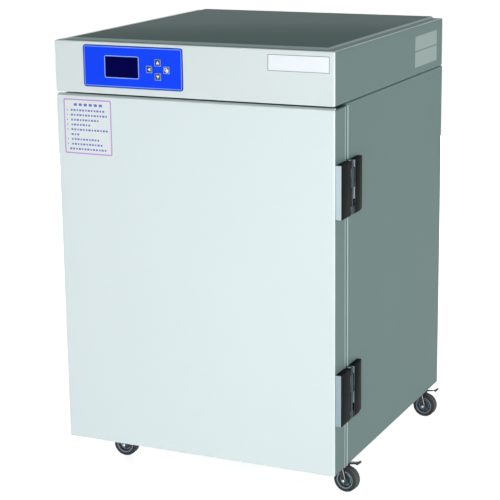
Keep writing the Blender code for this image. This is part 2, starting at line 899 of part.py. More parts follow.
def control_fascia():
    """The head's front panel, with a pocket for the keypad."""
    fascia = box("control_fascia", (-half_width, 0, head_bottom),
                 (half_width, fascia_thickness, head_top), fascia_round, 2, sharp=("+y",))
    pocket = plate("keypad_pocket", [keypad_outline(touch)], -sheet, pocket_floor, "Y")
    cut(fascia, pocket)
    window = rectangle(window_width - 2 * window_ledge, window_height - 2 * window_ledge,
                       window_centre())
    cut(fascia, plate("display_hole", [window], -sheet, fascia_thickness + sheet, "Y"))
    for name, x, z in key_centres():
        cut(fascia, rod("stem_hole_" + name, key_stem_radius + 2 * key_gap,
                        (x, -sheet, z), (x, fascia_thickness + sheet, z), 8))
    return fascia


def keypad_centre():
    return keypad_centre_x, head_bottom + keypad_centre_rise


def window_centre():
    return window_centre_x, head_bottom + window_centre_rise


def keypad_outline(gap=0.0):
    """The keypad's edge, grown by a gap."""
    return rounded(rectangle(keypad_width + 2 * gap, keypad_height + 2 * gap,
                             keypad_centre()), keypad_corner)


def window_outline(gap=0.0):
    """The display window's edge, grown by a gap."""
    return rounded(rectangle(window_width + 2 * gap, window_height + 2 * gap,
                             window_centre()), window_corner)


def key_centres():
    """The keys: name, x and z."""
    x, z = key_centre_x, head_bottom + key_centre_rise
    return (("up", x, z + key_step_z), ("left", x - key_step_x, z),
            ("down", x, z - key_step_z), ("menu", x + key_step_x, z))


def key_outline(x, z, gap=0.0):
    """A key's edge, grown by a gap."""
    return rounded(rectangle(key_size + 2 * gap, key_size + 2 * gap, (x, z)), key_corner, 2)


def keypad_panel():
    """The blue keypad plate, with openings for the display window and the keys."""
    outlines = [keypad_outline(), window_outline(touch)]
    outlines += [key_outline(x, z, key_gap) for name, x, z in key_centres()]
    return plate("keypad_panel", outlines, -keypad_proud, pocket_floor - touch, "Y")


def display_window():
    """The display's window, flush with the keypad."""
    return plate("display_window", [window_outline()], -keypad_proud + touch,
                 pocket_floor - touch, "Y")


def key(name, x, z):
    """One key: a cap in the keypad and a stem to its switch."""
    floor = pocket_floor - key_travel - touch
    cap = plate("key_" + name, [key_outline(x, z)], key_front, floor, "Y")
    return join(cap, rod("key_stem_" + name, key_stem_radius, (x, floor - touch, z),
                         (x, board_front - switch_depth() - key_travel - touch, z), 8))


def switch_depth():
    """The height of a key switch on the control board."""
    return board_gap / 3


def control_board():
    """The board behind the fascia, with its posts, display module and key switches."""
    x, z = keypad_centre()
    half = keypad_width / 2 - board_side_gap
    board = box("control_board", (x - half, board_front, z - board_height / 2),
                (x + half, board_front + board_thickness, z + board_height / 2))
    for side in (-1, 1):
        for end in (-1, 1):
            post_x = x + side * (half - post_inset)
            post_z = z + end * (board_height / 2 - post_inset)
            join(board, rod("board_post_%d_%d" % (side, end), post_radius,
                            (post_x, fascia_thickness + touch, post_z),
                            (post_x, board_front + board_thickness / 2, post_z), 8))
    window_x, window_z = window_centre()
    join(board, box("display_module",
                    (window_x - window_width / 2, fascia_thickness + touch,
                     window_z - window_height / 2),
                    (window_x + window_width / 2, board_front + board_thickness / 2,
                     window_z + window_height / 2)))
    half = key_switch_size / 2
    for name, key_x, key_z in key_centres():
        join(board, box("key_switch_" + name,
                        (key_x - half, board_front - switch_depth(), key_z - half),
                        (key_x + half, board_front + board_thickness / 2, key_z + half)))
    return board


def inlet_window_half():
    """Half the width and half the height of the window for the inlet."""
    return inlet_flange_width / 2 - inlet_lip, inlet_flange_height / 2 - inlet_lip


def power_inlet():
    """The mains inlet module: a flange with an appliance socket and a switch window."""
    z = (head_bottom + head_top) / 2
    back = cabinet_depth + inlet_flange_thickness
    half, height = inlet_flange_width / 2, inlet_flange_height / 2
    module = box("power_inlet", (inlet_x - half, cabinet_depth + touch, z - height),
                 (inlet_x + half, back, z + height), small_round, 1, sharp=("-y",))
    half, height = (size - 3 * touch for size in inlet_window_half())
    join(module, box("inlet_body", (inlet_x - half, cabinet_depth - inlet_body_depth, z - height),
                     (inlet_x + half, cabinet_depth + inlet_flange_thickness / 2, z + height)))
    socket_x = socket_centre()
    width, height, corner = socket_width / 2, socket_height / 2, socket_corner
    outline = [(socket_x - width, z - height), (socket_x + width, z - height),
               (socket_x + width, z + height - corner), (socket_x + width - corner, z + height),
               (socket_x - width + corner, z + height), (socket_x - width, z + height - corner)]
    cut(module, plate("socket_cavity", [outline], back - socket_depth, back + sheet, "Y"))
    for i in (-1, 0, 1):
        pin_x = socket_x + i * socket_pin_pitch
        pin_z = z + socket_pin_lift * (1 - 2 * abs(i))
        join(module, box("socket_pin_%d" % i,
                         (pin_x - socket_pin_width / 2, back - socket_depth - touch,
                          pin_z - socket_pin_height / 2),
                         (pin_x + socket_pin_width / 2, back - socket_pin_recess,
                          pin_z + socket_pin_height / 2)))
    switch_x = rocker_centre()
    return cut(module, box("switch_window",
                           (switch_x - rocker_width / 2 - touch, back - rocker_well,
                            z - rocker_radius - touch),
                           (switch_x + rocker_width / 2 + touch, back + sheet,
                            z + rocker_radius + touch)))


def socket_centre():
    return inlet_x + socket_offset


def rocker_centre():
    return inlet_x - inlet_flange_width / 4


def rocker_pivot():
    """The rocker's pivot: its y and z."""
    return (cabinet_depth + inlet_flange_thickness - rocker_set_back,
            (head_bottom + head_top) / 2)


def power_switch():
    """The rocker, drawn about its pivot: a disc with two faces in a shallow V."""
    tilt = math.radians(rocker_tilt)
    shoulder = tilt + math.asin(rocker_face * math.cos(tilt) / rocker_radius)
    steps = 14
    outline = [(0.0, rocker_face)]
    for step in range(steps + 1):
        angle = math.pi - shoulder + (math.pi + 2 * shoulder) * step / steps
        outline.append((rocker_radius * math.cos(angle), rocker_radius * math.sin(angle)))
    rocker = plate("power_switch", [outline], -rocker_width / 2, rocker_width / 2)
    upright = Matrix(((0, 0, 1, 0), (0, 1, 0, 0), (1, 0, 0, 0), (0, 0, 0, 1)))
    rocker.matrix_basis = Matrix.Rotation(tilt, 4, "X") @ upright @ rocker.matrix_basis
    return rocker


# Door

def door_panel():
    """The door's white front skin."""
    return box("door_panel", (-half_width, 0, door_bottom), (half_width, door_skin, door_top),
               door_round, 2, sharp=("+y",))


def door_tray():
    """The door's edges: a tray with a rear rim and a finger pull in its free edge."""
    front = door_skin + touch
    tray = box("door_tray", (-half_width, front, door_bottom),
               (half_width, door_thickness, door_top), bend, 3, sharp=("-y",))
    cut(tray, box("tray_inside", (-half_width + sheet, 0, door_bottom + sheet),
                  (half_width - sheet, door_thickness - sheet, door_top - sheet)))
    cut(tray, box("tray_mouth",
                  (-half_width + door_rim, door_thickness - 2 * sheet, door_bottom + door_rim),
                  (half_width - door_rim, door_thickness + sheet, door_top - door_rim)))
    low, high = pull_corners(pull_wall)
    low[0] = -half_width + sheet / 2
    join(tray, box("pull_shell", low, high, pull_round + small_round, 1, sharp=("-x",)))
    low, high = pull_corners(0.0)
    low[0] = -half_width - sheet
    return cut(tray, box("pull_pocket", low, high, pull_round, 1, sharp=("-x",)))


def pull_corners(grown):
    """Two corners of the finger pull's pocket in the door's left edge."""
    y = door_thickness / 2
    z = (door_bottom + door_top) / 2
    low = [-half_width, y - pull_width / 2 - grown, z - pull_length / 2 - grown]
    high = [-half_width + pull_depth + grown, y + pull_width / 2 + grown,
            z + pull_length / 2 + grown]
    return low, high


def door_insulation():
    """The door's core, clear of the finger pull and the liner's dish."""
    edge = half_width - sheet - touch
    core = box("door_insulation", (-edge, door_skin + touch, door_bottom + sheet + touch),
               (edge, liner_front() - touch, door_top - sheet - touch))
    low, high = pull_corners(pull_wall + touch)
    low[0] = -half_width - sheet
    cut(core, box("core_pull_gap", low, high))
    grown = sheet + touch
    inset = liner_dish_inset - grown
    return cut(core, box("core_dish_gap",
                         (-half_width + inset, liner_front() - liner_dish_depth - touch,
                          door_bottom + inset),
                         (half_width - inset, door_thickness, door_top - inset)))


def liner_front():
    """The front of the liner's rim, which lies against the tray's rim."""
    return door_thickness - 2 * sheet - touch


def door_liner():
    """The door's inner skin, pressed in to a shallow dish."""
    front = liner_front()
    edge = half_width - sheet - touch
    liner = box("door_liner", (-edge, front, door_bottom + sheet + touch),
                (edge, front + sheet, door_top - sheet - touch))
    inset = liner_dish_inset - sheet
    join(liner, box("dish_shell", (-half_width + inset, front - liner_dish_depth,
                                   door_bottom + inset),
                    (half_width - inset, front + sheet / 2, door_top - inset),
                    door_round + small_round, 1, sharp=("+y",)))
    inset = liner_dish_inset
    return cut(liner, box("dish_hollow", (-half_width + inset, front - liner_dish_depth + sheet,
                                          door_bottom + inset),
                          (half_width - inset, front + 2 * sheet, door_top - inset),
                          door_round, 1, sharp=("+y",)))


def door_gasket():
    """The magnetic seal on the door's rear rim."""
    middle = (door_bottom + door_top) / 2
    width = cabinet_width - 2 * gasket_inset
    height = door_height - 2 * gasket_inset
    outer = rounded(rectangle(width, height, (0, middle)), gasket_corner)
    inner = rounded(rectangle(width - 2 * gasket_width, height - 2 * gasket_width,
                              (0, middle)), gasket_corner / 2)
    return plate("door_gasket", [outer, inner], door_thickness + touch, body_front - touch, "Y")


# Door hinges

def hinge_levels(centre):
    """The levels between a hinge's knuckles, from its top down."""
    levels = [centre + hinge_height / 2]
    for share in knuckle_shares:
        levels.append(levels[-1] - share * hinge_height)
    return levels


def knuckles(leaf, name, centre, picked, side):
    """Join a leaf's own knuckles to it; side is -1 for the door and 1 for the cabinet."""
    levels = hinge_levels(centre)
    x, y = hinge_axis_x, hinge_axis_y
    for i in picked:
        low, high = levels[i + 1] + knuckle_gap / 2, levels[i] - knuckle_gap / 2
        near, far = sorted((y, y + side * (hinge_setback + small_round)))
        join(leaf, rod("knuckle_%s_%d" % (name, i), knuckle_radius, (x, y, low), (x, y, high), 12))
        join(leaf, box("arm_%s_%d" % (name, i), (x - knuckle_radius + 2 * touch, near, low),
                       (x + knuckle_radius - touch, far, high)))
    return leaf


def hinge_door_leaf(place, centre):
    """The leaf on the door's edge, with the first and third knuckles."""
    x = half_width + touch
    outer = half_width + hinge_proud
    front, back = hinge_leaf_front, hinge_axis_y - hinge_setback
    outline = [(x, front), (outer - small_round, front), (outer, front + small_round),
               (outer, back), (x, back)]
    leaf = plate("hinge_door_leaf_" + place, [outline], centre - hinge_height / 2,
                 centre + hinge_height / 2)
    knuckles(leaf, "door_" + place, centre, (0, 2), -1)
    return cut(leaf, rod("pin_bore_" + place, hinge_pin_radius + hinge_bore_gap,
                         (hinge_axis_x, hinge_axis_y, centre - hinge_height),
                         (hinge_axis_x, hinge_axis_y, centre + hinge_height), 12))


def hinge_cabinet_leaf(place, centre):
    """The leaf on the case's side, with the other knuckles and the pin."""
    x = half_width + touch
    outer = half_width + hinge_proud
    front = hinge_axis_y + hinge_setback
    back = hinge_axis_y + hinge_rear_reach
    outline = [(x, front), (outer, front), (outer, front + hinge_flat),
               (half_width + hinge_tail, back), (x, back)]
    leaf = plate("hinge_cabinet_leaf_" + place, [outline], centre - hinge_height / 2,
                 centre + hinge_height / 2)
    knuckles(leaf, "cabinet_" + place, centre, (1, 3), 1)
    top = centre + hinge_height / 2
    join(leaf, rod("hinge_pin_" + place, hinge_pin_radius,
                   (hinge_axis_x, hinge_axis_y, centre - hinge_height / 2 + small_round),
                   (hinge_axis_x, hinge_axis_y, top + knuckle_gap), 12))
    return join(leaf, rod("pin_cap_" + place, knuckle_radius - touch,
                          (hinge_axis_x, hinge_axis_y, top + knuckle_gap / 2),
                          (hinge_axis_x, hinge_axis_y, top + pin_cap_height), 16,
                          knuckle_radius - pin_cap_round))


# Inner glass door and shelves

def glass_frame():
    """The glass door's frame: a ring with a groove for the pane and two pivot pins."""
    middle = (glass_bottom + glass_top) / 2
    height = glass_top - glass_bottom
    outer = rounded(rectangle(2 * glass_half, height, (0, middle)), glass_corner, 2)
    inner = rounded(rectangle(2 * (glass_half - glass_frame_face),
                              height - 2 * glass_frame_face, (0, middle)), glass_corner, 2)
    frame = plate("glass_frame", [outer, inner], glass_front, glass_back, "Y")
    groove = glass_half - glass_groove + touch
    cut(frame, box("pane_groove", (-groove, pane_front() - touch, glass_bottom + glass_groove
                                   - touch),
                   (groove, pane_front() + glass_thickness + touch,
                    glass_top - glass_groove + touch)))
    for name, level, edge in (("low", glass_bottom, -1), ("high", glass_top, 1)):
        join(frame, rod("pivot_pin_" + name, glass_pivot_radius,
                        (glass_pivot_x, glass_middle, level - edge * sheet),
                        (glass_pivot_x, glass_middle, level + edge * glass_pivot_length), 8))
    return frame


def pane_front():
    return glass_middle - glass_thickness / 2


def glass_pane():
    """The pane, in the frame's groove."""
    half = glass_half - glass_groove
    return box("glass_pane", (-half, pane_front(), glass_bottom + glass_groove),
               (half, pane_front() + glass_thickness, glass_top - glass_groove))


def glass_knob():
    """The pull knob on the frame's free side, a turned piece on a short neck."""
    r, end = knob_radius, knob_reach
    profile = [(0.0, end), (r * 0.7, end), (r, end * 0.8), (r, end * 0.6),
               (r * 0.55, end * 0.4), (r * 0.6, 0.0), (0.0, 0.0)]
    knob = turned("glass_knob", profile, 16)
    knob.rotation_euler.x = math.radians(90)
    knob.location = (-glass_half + glass_frame_face / 2, glass_front - touch,
                     (glass_bottom + glass_top) / 2)
    return knob


def wire_shelf(name, ledge_top):
    """A wire shelf: a round bar bent to a frame, with wires let in from front to back."""
    half = chamber_half - shelf_side_gap - shelf_rod_radius
    front = chamber_front + shelf_front_gap + shelf_rod_radius
    back = chamber_back - shelf_rear_gap - shelf_rod_radius
    z = ledge_top + touch + shelf_rod_radius
    outline = rounded([(-half, front), (half, front), (half, back), (-half, back)], shelf_corner)
    shelf = tube(name, [(x, y, z) for x, y in outline], shelf_rod_radius, 2, cyclic=True)
    count = int((2 * half - shelf_wire_pitch / 2) / shelf_wire_pitch)
    for i in range(count):
        x = (i - (count - 1) / 2) * shelf_wire_pitch
        join(shelf, rod("%s_wire_%d" % (name, i), shelf_wire_radius, (x, front, z),
                        (x, back, z), 6))
    return shelf


# Castors, each drawn about its swivel axis with the trail along +x

def castor_plate(name):
    """The castor's top plate, with the upper race and the kingpin."""
    top = plate_bottom + castor_plate_thickness
    size = castor_plate_size
    base = plate(name, [rounded(rectangle(size, size), castor_plate_corner, 2)], plate_bottom, top)
    join(base, rod(name + "_race", race_radius, (0, 0, race_bottom),
                   (0, 0, plate_bottom + castor_plate_thickness / 2), 20))
    join(base, rod(name + "_kingpin", kingpin_radius, (0, 0, crown_bottom - kingpin_head_height / 2),
                   (0, 0, plate_bottom), 8))
    return join(base, rod(name + "_rivet", kingpin_radius,
                          (0, 0, crown_bottom - kingpin_head_height),
                          (0, 0, crown_bottom - touch), 8, kingpin_head))


def castor_fork(name):
    """The pressed fork: a crown with two narrow legs down to the axle bolt."""
    half = tread_width / 2 + fork_gap + fork_sheet
    foot_low = axle_height - fork_foot * 0.8
    outline = [(-crown_back, crown_top), (crown_front, crown_top),
               (crown_front, brake_pivot_z - crown_flange),
               (castor_trail + fork_foot, axle_height), (castor_trail + fork_foot * 0.6, foot_low),
               (castor_trail - fork_foot * 0.6, foot_low), (castor_trail - fork_foot, axle_height),
               (crown_front - fork_leg_top, crown_bottom - crown_flange),
               (-crown_back, crown_bottom - crown_flange)]
    fork = plate(name, [outline], -half, half, "Y")
    inner = half - fork_sheet
    reach = castor_trail + wheel_radius
    cut(fork, box(name + "_gap", (-reach, -inner, 0), (reach, inner, crown_bottom)))
    cut(fork, rod(name + "_bore", kingpin_radius + fitting_gap, (0, 0, crown_bottom - sheet),
                  (0, 0, crown_top + sheet), 12))
    cut(fork, rod(name + "_pin_hole", brake_pin_radius + fitting_gap,
                  (brake_pivot_x, -half - sheet, brake_pivot_z),
                  (brake_pivot_x, half + sheet, brake_pivot_z), 8))
    join(fork, rod(name + "_axle", axle_radius, (castor_trail, -half - touch, axle_height),
                   (castor_trail, half + touch, axle_height), 12))
    for side in (-1, 1):
        join(fork, rod("%s_bolt_%d" % (name, side), bolt_radius,
                       (castor_trail, side * (half - touch), axle_height),
                       (castor_trail, side * (half + bolt_height), axle_height), 6))
    return fork


def wheel_tyre(name):
    """The tyre, drawn about its axle, with rounded shoulders."""
    r, half, round_in = wheel_radius, tread_width / 2, tyre_shoulder
    inner = wheel_radius - tyre_thickness
    profile = [(inner, half - touch), (r - round_in, half),
               (r - round_in * 0.25, half - round_in * 0.35), (r, half - round_in * 1.1),
               (r, -half + round_in * 1.1), (r - round_in * 0.25, -half + round_in * 0.35),
               (r - round_in, -half), (inner, -half + touch)]
    return turned(name, profile, wheel_sides, ring=True)


def wheel_hub(name):
    """The hub: a rim and a boss joined by a web with ribs on both sides."""
    outer = wheel_radius - tyre_thickness - touch
    rim = outer - hub_rim
    boss = axle_radius + hub_boss
    bore = axle_radius + axle_gap
    half = tread_width / 2 - 2 * touch
    web = hub_web / 2
    profile = [(bore, half), (boss, half), (boss + hub_draft, web), (rim - hub_draft, web),
               (rim, half), (outer, half), (outer, -half), (rim, -half), (rim - hub_draft, -web),
               (boss + hub_draft, -web), (boss, -half), (bore, -half)]
    hub = turned(name, profile, 16, ring=True)
    for i in range(hub_ribs):
        rib = box("%s_rib_%d" % (name, i), (boss - touch, -rib_thickness / 2, rib_recess - half),
                  (rim + touch, rib_thickness / 2, half - rib_recess))
        rib.matrix_world = Matrix.Rotation(2 * math.pi * (i + 0.5) / hub_ribs, 4, "Z") \
            @ rib.matrix_basis
        join(hub, rib)
    return hub


def brake_pedal(name):
    """The pedal, drawn about its pin: an arm with a rolled end and a cam for the tyre."""
    cam = axle_height + wheel_radius + brake_lift - brake_pivot_z
    knuckle = brake_pin_radius + pedal_sheet / 2
    under = pedal_rise - pedal_sheet / 2
    outline = [(-knuckle, 0.0), (-knuckle * 0.7, knuckle * 0.7), (0.0, knuckle),
               (pedal_length, pedal_rise + pedal_sheet / 2), (pedal_length, under),
               (pedal_length * 0.4, under * 0.3), (brake_cam_reach * 2, 0.0), (brake_cam_reach, cam),
               (0.0, cam + brake_lift), (-knuckle * 0.7, -knuckle * 0.7)]
    pedal = plate(name, [outline], -pedal_width / 2, pedal_width / 2, "Y")
    half = pedal_roll_width / 2
    join(pedal, rod(name + "_roll", pedal_roll_radius, (pedal_length, -half, pedal_rise),
                    (pedal_length, half, pedal_rise), 10))
    pin_end = tread_width / 2 + fork_gap + fork_sheet + touch
    return join(pedal, rod(name + "_pin", brake_pin_radius, (0, -pin_end, 0), (0, pin_end, 0), 8))


def castor(place, side, end, turn, finishes, base):
    """One castor with its swivel, axle and brake empties."""
    x = side * (half_width - castor_inset)
    y = cabinet_depth - castor_rear_inset if end else body_front + castor_front_inset
    name = "castor_" + place
    mounting = empty(name + "_mounting", (x, y, 0), base)
    finish(castor_plate(name + "_plate"), finishes["zinc"], mounting, False)
    swivel = empty(name + "_swivel", (x, y, 0), base, math.radians(turn))
    finish(castor_fork(name + "_fork"), finishes["castor_black"], swivel, False)
    axle = empty(name + "_axle", (castor_trail, 0, axle_height), swivel)
    axle.rotation_euler.x = math.radians(90)
    tyre = finish(wheel_tyre(name + "_tyre"), finishes["tyre"], axle, False)
    tyre.rotation_euler.z = math.pi / 2 + math.pi / wheel_sides
    finish(wheel_hub(name + "_hub"), finishes["hub"], axle, False)
    pedal = empty(name + "_brake_pivot", (brake_pivot_x, 0, brake_pivot_z), swivel)
    finish(brake_pedal(name + "_brake"), finishes["castor_black"], pedal, False)


# Assembly

def make_finishes():
    """The materials, with the colours of the photograph."""
    return {
        "case_grey": material("case_grey", (120, 138, 134), 0.45),
        "white_paint": material("white_paint", (226, 236, 238), 0.35),
        "steel": material("stainless_steel", (190, 194, 196), 0.30, 1.0),
        "tank": material("tank_steel", (165, 168, 170), 0.40, 1.0),
        "zinc": material("zinc_plate", (170, 174, 176), 0.40, 1.0),
        "insulation": material("mineral_wool", (206, 196, 150), 0.95),
        "liner": material("door_liner_paint", (222, 228, 228), 0.40),
        "gasket": material("gasket_rubber", (70, 74, 76), 0.70),
        "hinge_black": material("hinge_black", (26, 28, 30), 0.30),
        "keypad_blue": material("keypad_blue", (30, 80, 255), 0.35),
        "window": material("display_window", (2, 2, 75), 0.15),
        "key": material("key_navy", (20, 50, 90), 0.40),
        "board": material("board_green", (30, 90, 60), 0.50),
        "black_plastic": material("black_plastic", (28, 28, 30), 0.45),
        "glass": material("glass", (220, 235, 235), 0.05, 0.0, 0.35),
        "aluminium": material("aluminium", (185, 188, 190), 0.35, 1.0),
        "brass": material("brass", (190, 160, 90), 0.35, 1.0),
        "heater": material("heater_sheath", (120, 118, 112), 0.45, 1.0),
        "tyre": material("tyre_rubber", (44, 44, 44), 0.75),
        "hub": material("hub_plastic", (62, 74, 86), 0.45),
        "castor_black": material("castor_black", (30, 32, 34), 0.40),
    }


def build():
    """Make every piece and hang it on its body's empty."""
    finishes = make_finishes()
    shift_x = -hinge_proud / 2
    shift_y = -(part_back + key_front) / 2
    base = empty("incubator", (shift_x, shift_y, 0))
    fixed = empty("cabinet", (0, 0, 0), base)
    for piece, look in (
            (outer_case(), "case_grey"), (base_plate(), "zinc"), (rear_panel(), "case_grey"),
            (front_frame(), "steel"), (inner_chamber(), "steel"), (water_jacket(), "tank"),
            (insulation(), "insulation"), (heater_element(), "heater"),
            (temperature_probe(), "steel"), (filler_neck(), "black_plastic"),
            (overflow_pipe(), "brass"), (drain_valve(), "brass"), (head_shell(), "case_grey"),
            (top_cover(), "case_grey"), (control_fascia(), "white_paint"),
            (keypad_panel(), "keypad_blue"), (display_window(), "window"),
            (control_board(), "board"), (power_inlet(), "black_plastic")):
        finish(piece, finishes[look], fixed)
    for name, x, z in key_centres():
        pivot = empty("key_%s_slide" % name, (x, 0, z), base)
        finish(key(name, x, z), finishes["key"], pivot)
    rocker_y, rocker_z = rocker_pivot()
    pivot = empty("power_switch_pivot", (rocker_centre(), rocker_y, rocker_z), base)
    finish(power_switch(), finishes["black_plastic"], pivot, False)
    lid_y, lid_z = filler_hinge()
    finish(filler_lid(), finishes["black_plastic"],
           empty("filler_lid_hinge", (filler_x, lid_y, lid_z), base))
    stem = empty("drain_handle_stem", (drain_x, drain_body_y, drain_z), base)
    finish(drain_handle(), finishes["black_plastic"], stem, False)

    door = empty("door_hinge", (hinge_axis_x, hinge_axis_y, door_bottom), base)
    for piece, look in ((door_panel(), "white_paint"), (door_tray(), "case_grey"),
                        (door_insulation(), "insulation"), (door_liner(), "liner"),
                        (door_gasket(), "gasket")):
        finish(piece, finishes[look], door)
    for place, centre in (("lower", door_bottom + hinge_inset), ("upper", door_top - hinge_inset)):
        finish(hinge_door_leaf(place, centre), finishes["hinge_black"], door)
        finish(hinge_cabinet_leaf(place, centre), finishes["hinge_black"], fixed)

    glass = empty("glass_door_pivot", (glass_pivot_x, glass_middle, glass_bottom), base)
    finish(glass_frame(), finishes["aluminium"], glass)
    finish(glass_pane(), finishes["glass"], glass)
    finish(glass_knob(), finishes["black_plastic"], glass)
    levels = ledge_levels()
    for name, level in (("shelf_lower", levels[0]), ("shelf_upper", levels[2])):
        slide = empty(name + "_slide", (0, chamber_front + shelf_front_gap, level), base)
        finish(wire_shelf(name, level), finishes["steel"], slide)
    for place, (side, end, turn) in castor_places.items():
        castor(place, side, end, turn, finishes, base)


clear_scene()
pieces = collection("water_jacketed_incubator")
guides = collection("cutters")
build()
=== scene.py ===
"""Finishes and small fittings for a water-jacketed laboratory incubator on castors.

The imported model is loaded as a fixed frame.  Lengths are in metres, in its frame.
"""

import json
import math

import bmesh
import bpy
from bpy.props import (
    FloatProperty,
    FloatVectorProperty,
    IntProperty,
    PointerProperty,
)
from mathutils import Matrix, Vector


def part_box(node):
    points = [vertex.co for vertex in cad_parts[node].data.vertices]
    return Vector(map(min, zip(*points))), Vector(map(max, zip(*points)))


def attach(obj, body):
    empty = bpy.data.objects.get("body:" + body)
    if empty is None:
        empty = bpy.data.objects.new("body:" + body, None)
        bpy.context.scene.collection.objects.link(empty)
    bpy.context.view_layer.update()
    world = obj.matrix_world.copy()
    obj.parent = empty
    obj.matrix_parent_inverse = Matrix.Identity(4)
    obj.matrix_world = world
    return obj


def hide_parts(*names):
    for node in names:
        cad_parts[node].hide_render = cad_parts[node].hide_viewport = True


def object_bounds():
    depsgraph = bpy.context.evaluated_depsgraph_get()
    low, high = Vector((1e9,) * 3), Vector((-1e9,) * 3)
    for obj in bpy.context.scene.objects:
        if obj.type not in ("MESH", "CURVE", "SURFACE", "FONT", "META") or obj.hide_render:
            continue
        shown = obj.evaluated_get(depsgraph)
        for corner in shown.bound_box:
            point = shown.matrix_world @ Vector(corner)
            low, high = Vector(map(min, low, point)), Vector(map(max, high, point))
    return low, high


bl_info = {
    "name": "Water-Jacketed Incubator",
    "version": (1, 0, 0),
    "blender": (4, 5, 0),
    "location": "View3D > Sidebar > Incubator",
    "description": "Dresses a laboratory incubator with its finishes and small fittings",
    "category": "Object",
}

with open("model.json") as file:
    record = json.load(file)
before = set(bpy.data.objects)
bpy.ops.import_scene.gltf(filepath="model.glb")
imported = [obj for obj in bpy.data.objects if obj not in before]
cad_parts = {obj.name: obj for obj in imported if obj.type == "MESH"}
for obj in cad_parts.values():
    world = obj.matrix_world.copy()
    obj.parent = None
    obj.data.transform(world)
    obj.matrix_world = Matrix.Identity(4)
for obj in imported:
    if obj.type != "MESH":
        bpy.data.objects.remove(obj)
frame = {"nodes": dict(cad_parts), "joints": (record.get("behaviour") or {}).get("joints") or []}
CAD_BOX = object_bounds()
NODES = frame["nodes"]
JOINTS = {joint["name"]: joint for joint in frame["joints"]}
PLACES = ("front_left", "front_right", "rear_left", "rear_right")
SMALL_SIDES = 20  # steps round a screw or an axle cap

# The camera, fitted to the photograph's edges: its place is counted in cabinet
# widths from the foot of the door, in the middle of the door's front.
CAMERA_PLACE = (2.35133, -4.61085, 2.00444)
CAMERA_RIGHT = (0.9078565, 0.4190993, -0.0123411)
CAMERA_UP = (-0.0904121, 0.2244232, 0.9702885)
CAMERA_BACK = (0.4094169, -0.8797670, 0.2416358)
CAMERA_FOCAL = 1621.96
PHOTO_SIDE = 500


def linear(hex_colour):
    """An sRGB hex colour as the shader's linear red, green and blue."""
    channels = []
    for start in (0, 2, 4):
        value = int(hex_colour[start:start + 2], 16) / 255
        low = value <= 0.04045
        channels.append(value / 12.92 if low else ((value + 0.055) / 1.055) ** 2.4)
    return tuple(channels)


def tint(name, description, hex_colour):
    """A colour that the user may change."""
    return FloatVectorProperty(name=name, description=description, subtype="COLOR",
                               size=3, min=0.0, max=1.0, default=linear(hex_colour))


def measure(name, description, default):
    """A length that the user may change."""
    return FloatProperty(name=name, description=description, unit="LENGTH",
                         precision=4, min=0.0, default=default)


class IncubatorColours(bpy.types.PropertyGroup):
    """Colours of the incubator's finishes."""

    case: tint("Case", "Powder coat on the case and head", "6E8683")
    door: tint("Door", "Enamel on the door's front", "DFECED")
    fascia: tint("Fascia", "Enamel on the control fascia", "DCE7E8")
    keypad: tint("Keypad", "Printed film of the keypad", "0C46FF")
    keypad_rim: tint("Keypad rim", "Printed rim of the keypad", "0C2A9C")
    keypad_line: tint("Keypad line", "Printed line inside the rim", "6E9AFF")
    display: tint("Display", "Display window, switched off", "02024B")
    key_face: tint("Keys", "Face of the keys", "0A234E")
    key_mark: tint("Key marks", "Marks on the keys", "DCE8F6")
    key_line: tint("Key outlines", "Outlines of keys and display", "96BAFF")
    card_border: tint("Card border", "Border of the row card", "C494D8")
    card_ink: tint("Card ink", "Rows of the card", "646EBE")
    tyre: tint("Tyres", "Rubber of the tyres", "16191C")
    hub: tint("Hubs", "Nylon of the hubs", "3A4650")
    floor: tint("Floor", "Floor and backdrop", "FFFFFF")


class IncubatorSizes(bpy.types.PropertyGroup):
    """Sizes of the incubator's small fittings."""

    fine_edge: measure("Fine edge", "Radius on small parts", 0.0003)
    print_rise: measure("Print", "Thickness of printed films", 0.0001)
    hem: measure("Hem", "Width of the rolled hem beside the seam", 0.008)
    hem_rise: measure("Hem rise", "Height of the right side's hem", 0.00025)
    card_width: measure("Card width", "Width of the row card", 0.1041)
    card_height: measure("Card height", "Height of the row card", 0.1064)
    plate_width: measure("Plate width", "Width of the fascia's plate", 0.1215)
    plate_height: measure("Plate height", "Height of the fascia's plate", 0.0312)
    screw: measure("Screw", "Radius of the panel screws", 0.0032)
    wheel_sides: IntProperty(name="Wheel sides", description="Steps round a wheel",
                             min=24, max=96, default=56)
    lamp: FloatProperty(name="Lamp", description="Power that each lamp takes a share of",
                        subtype="POWER", min=0.0, default=60.0)


def colours():
    """The scene's colours."""
    return bpy.context.scene.incubator_colours


def sizes():
    """The scene's sizes."""
    return bpy.context.scene.incubator_sizes


def add(tree, kind, inputs=None, links=None, **settings):
    """Add a shader node with its input values, links and settings."""
    node = tree.nodes.new(kind)
    for name, value in settings.items():
        setattr(node, name, value)
    for name, value in (inputs or {}).items():
        node.inputs[name].default_value = value
    for name, source in (links or {}).items():
        tree.links.new(source, node.inputs[name])
    return node


def new_material(name, **inputs):
    """A material with its Principled shader; inputs are named with underscores."""
    made = bpy.data.materials.new(name)
    made.use_nodes = True
    shader = made.node_tree.nodes["Principled BSDF"]
    for key, value in inputs.items():
        shader.inputs[key.replace("_", " ")].default_value = value
    return made, made.node_tree, shader


def shade(colour, share=1.0):
    """A setting's colour by its name, or else an sRGB hex colour; a share of it."""
    known = colour in IncubatorColours.__annotations__
    values = getattr(colours(), colour) if known else linear(colour)
    return (*(min(value * share, 1.0) for value in values), 1.0)


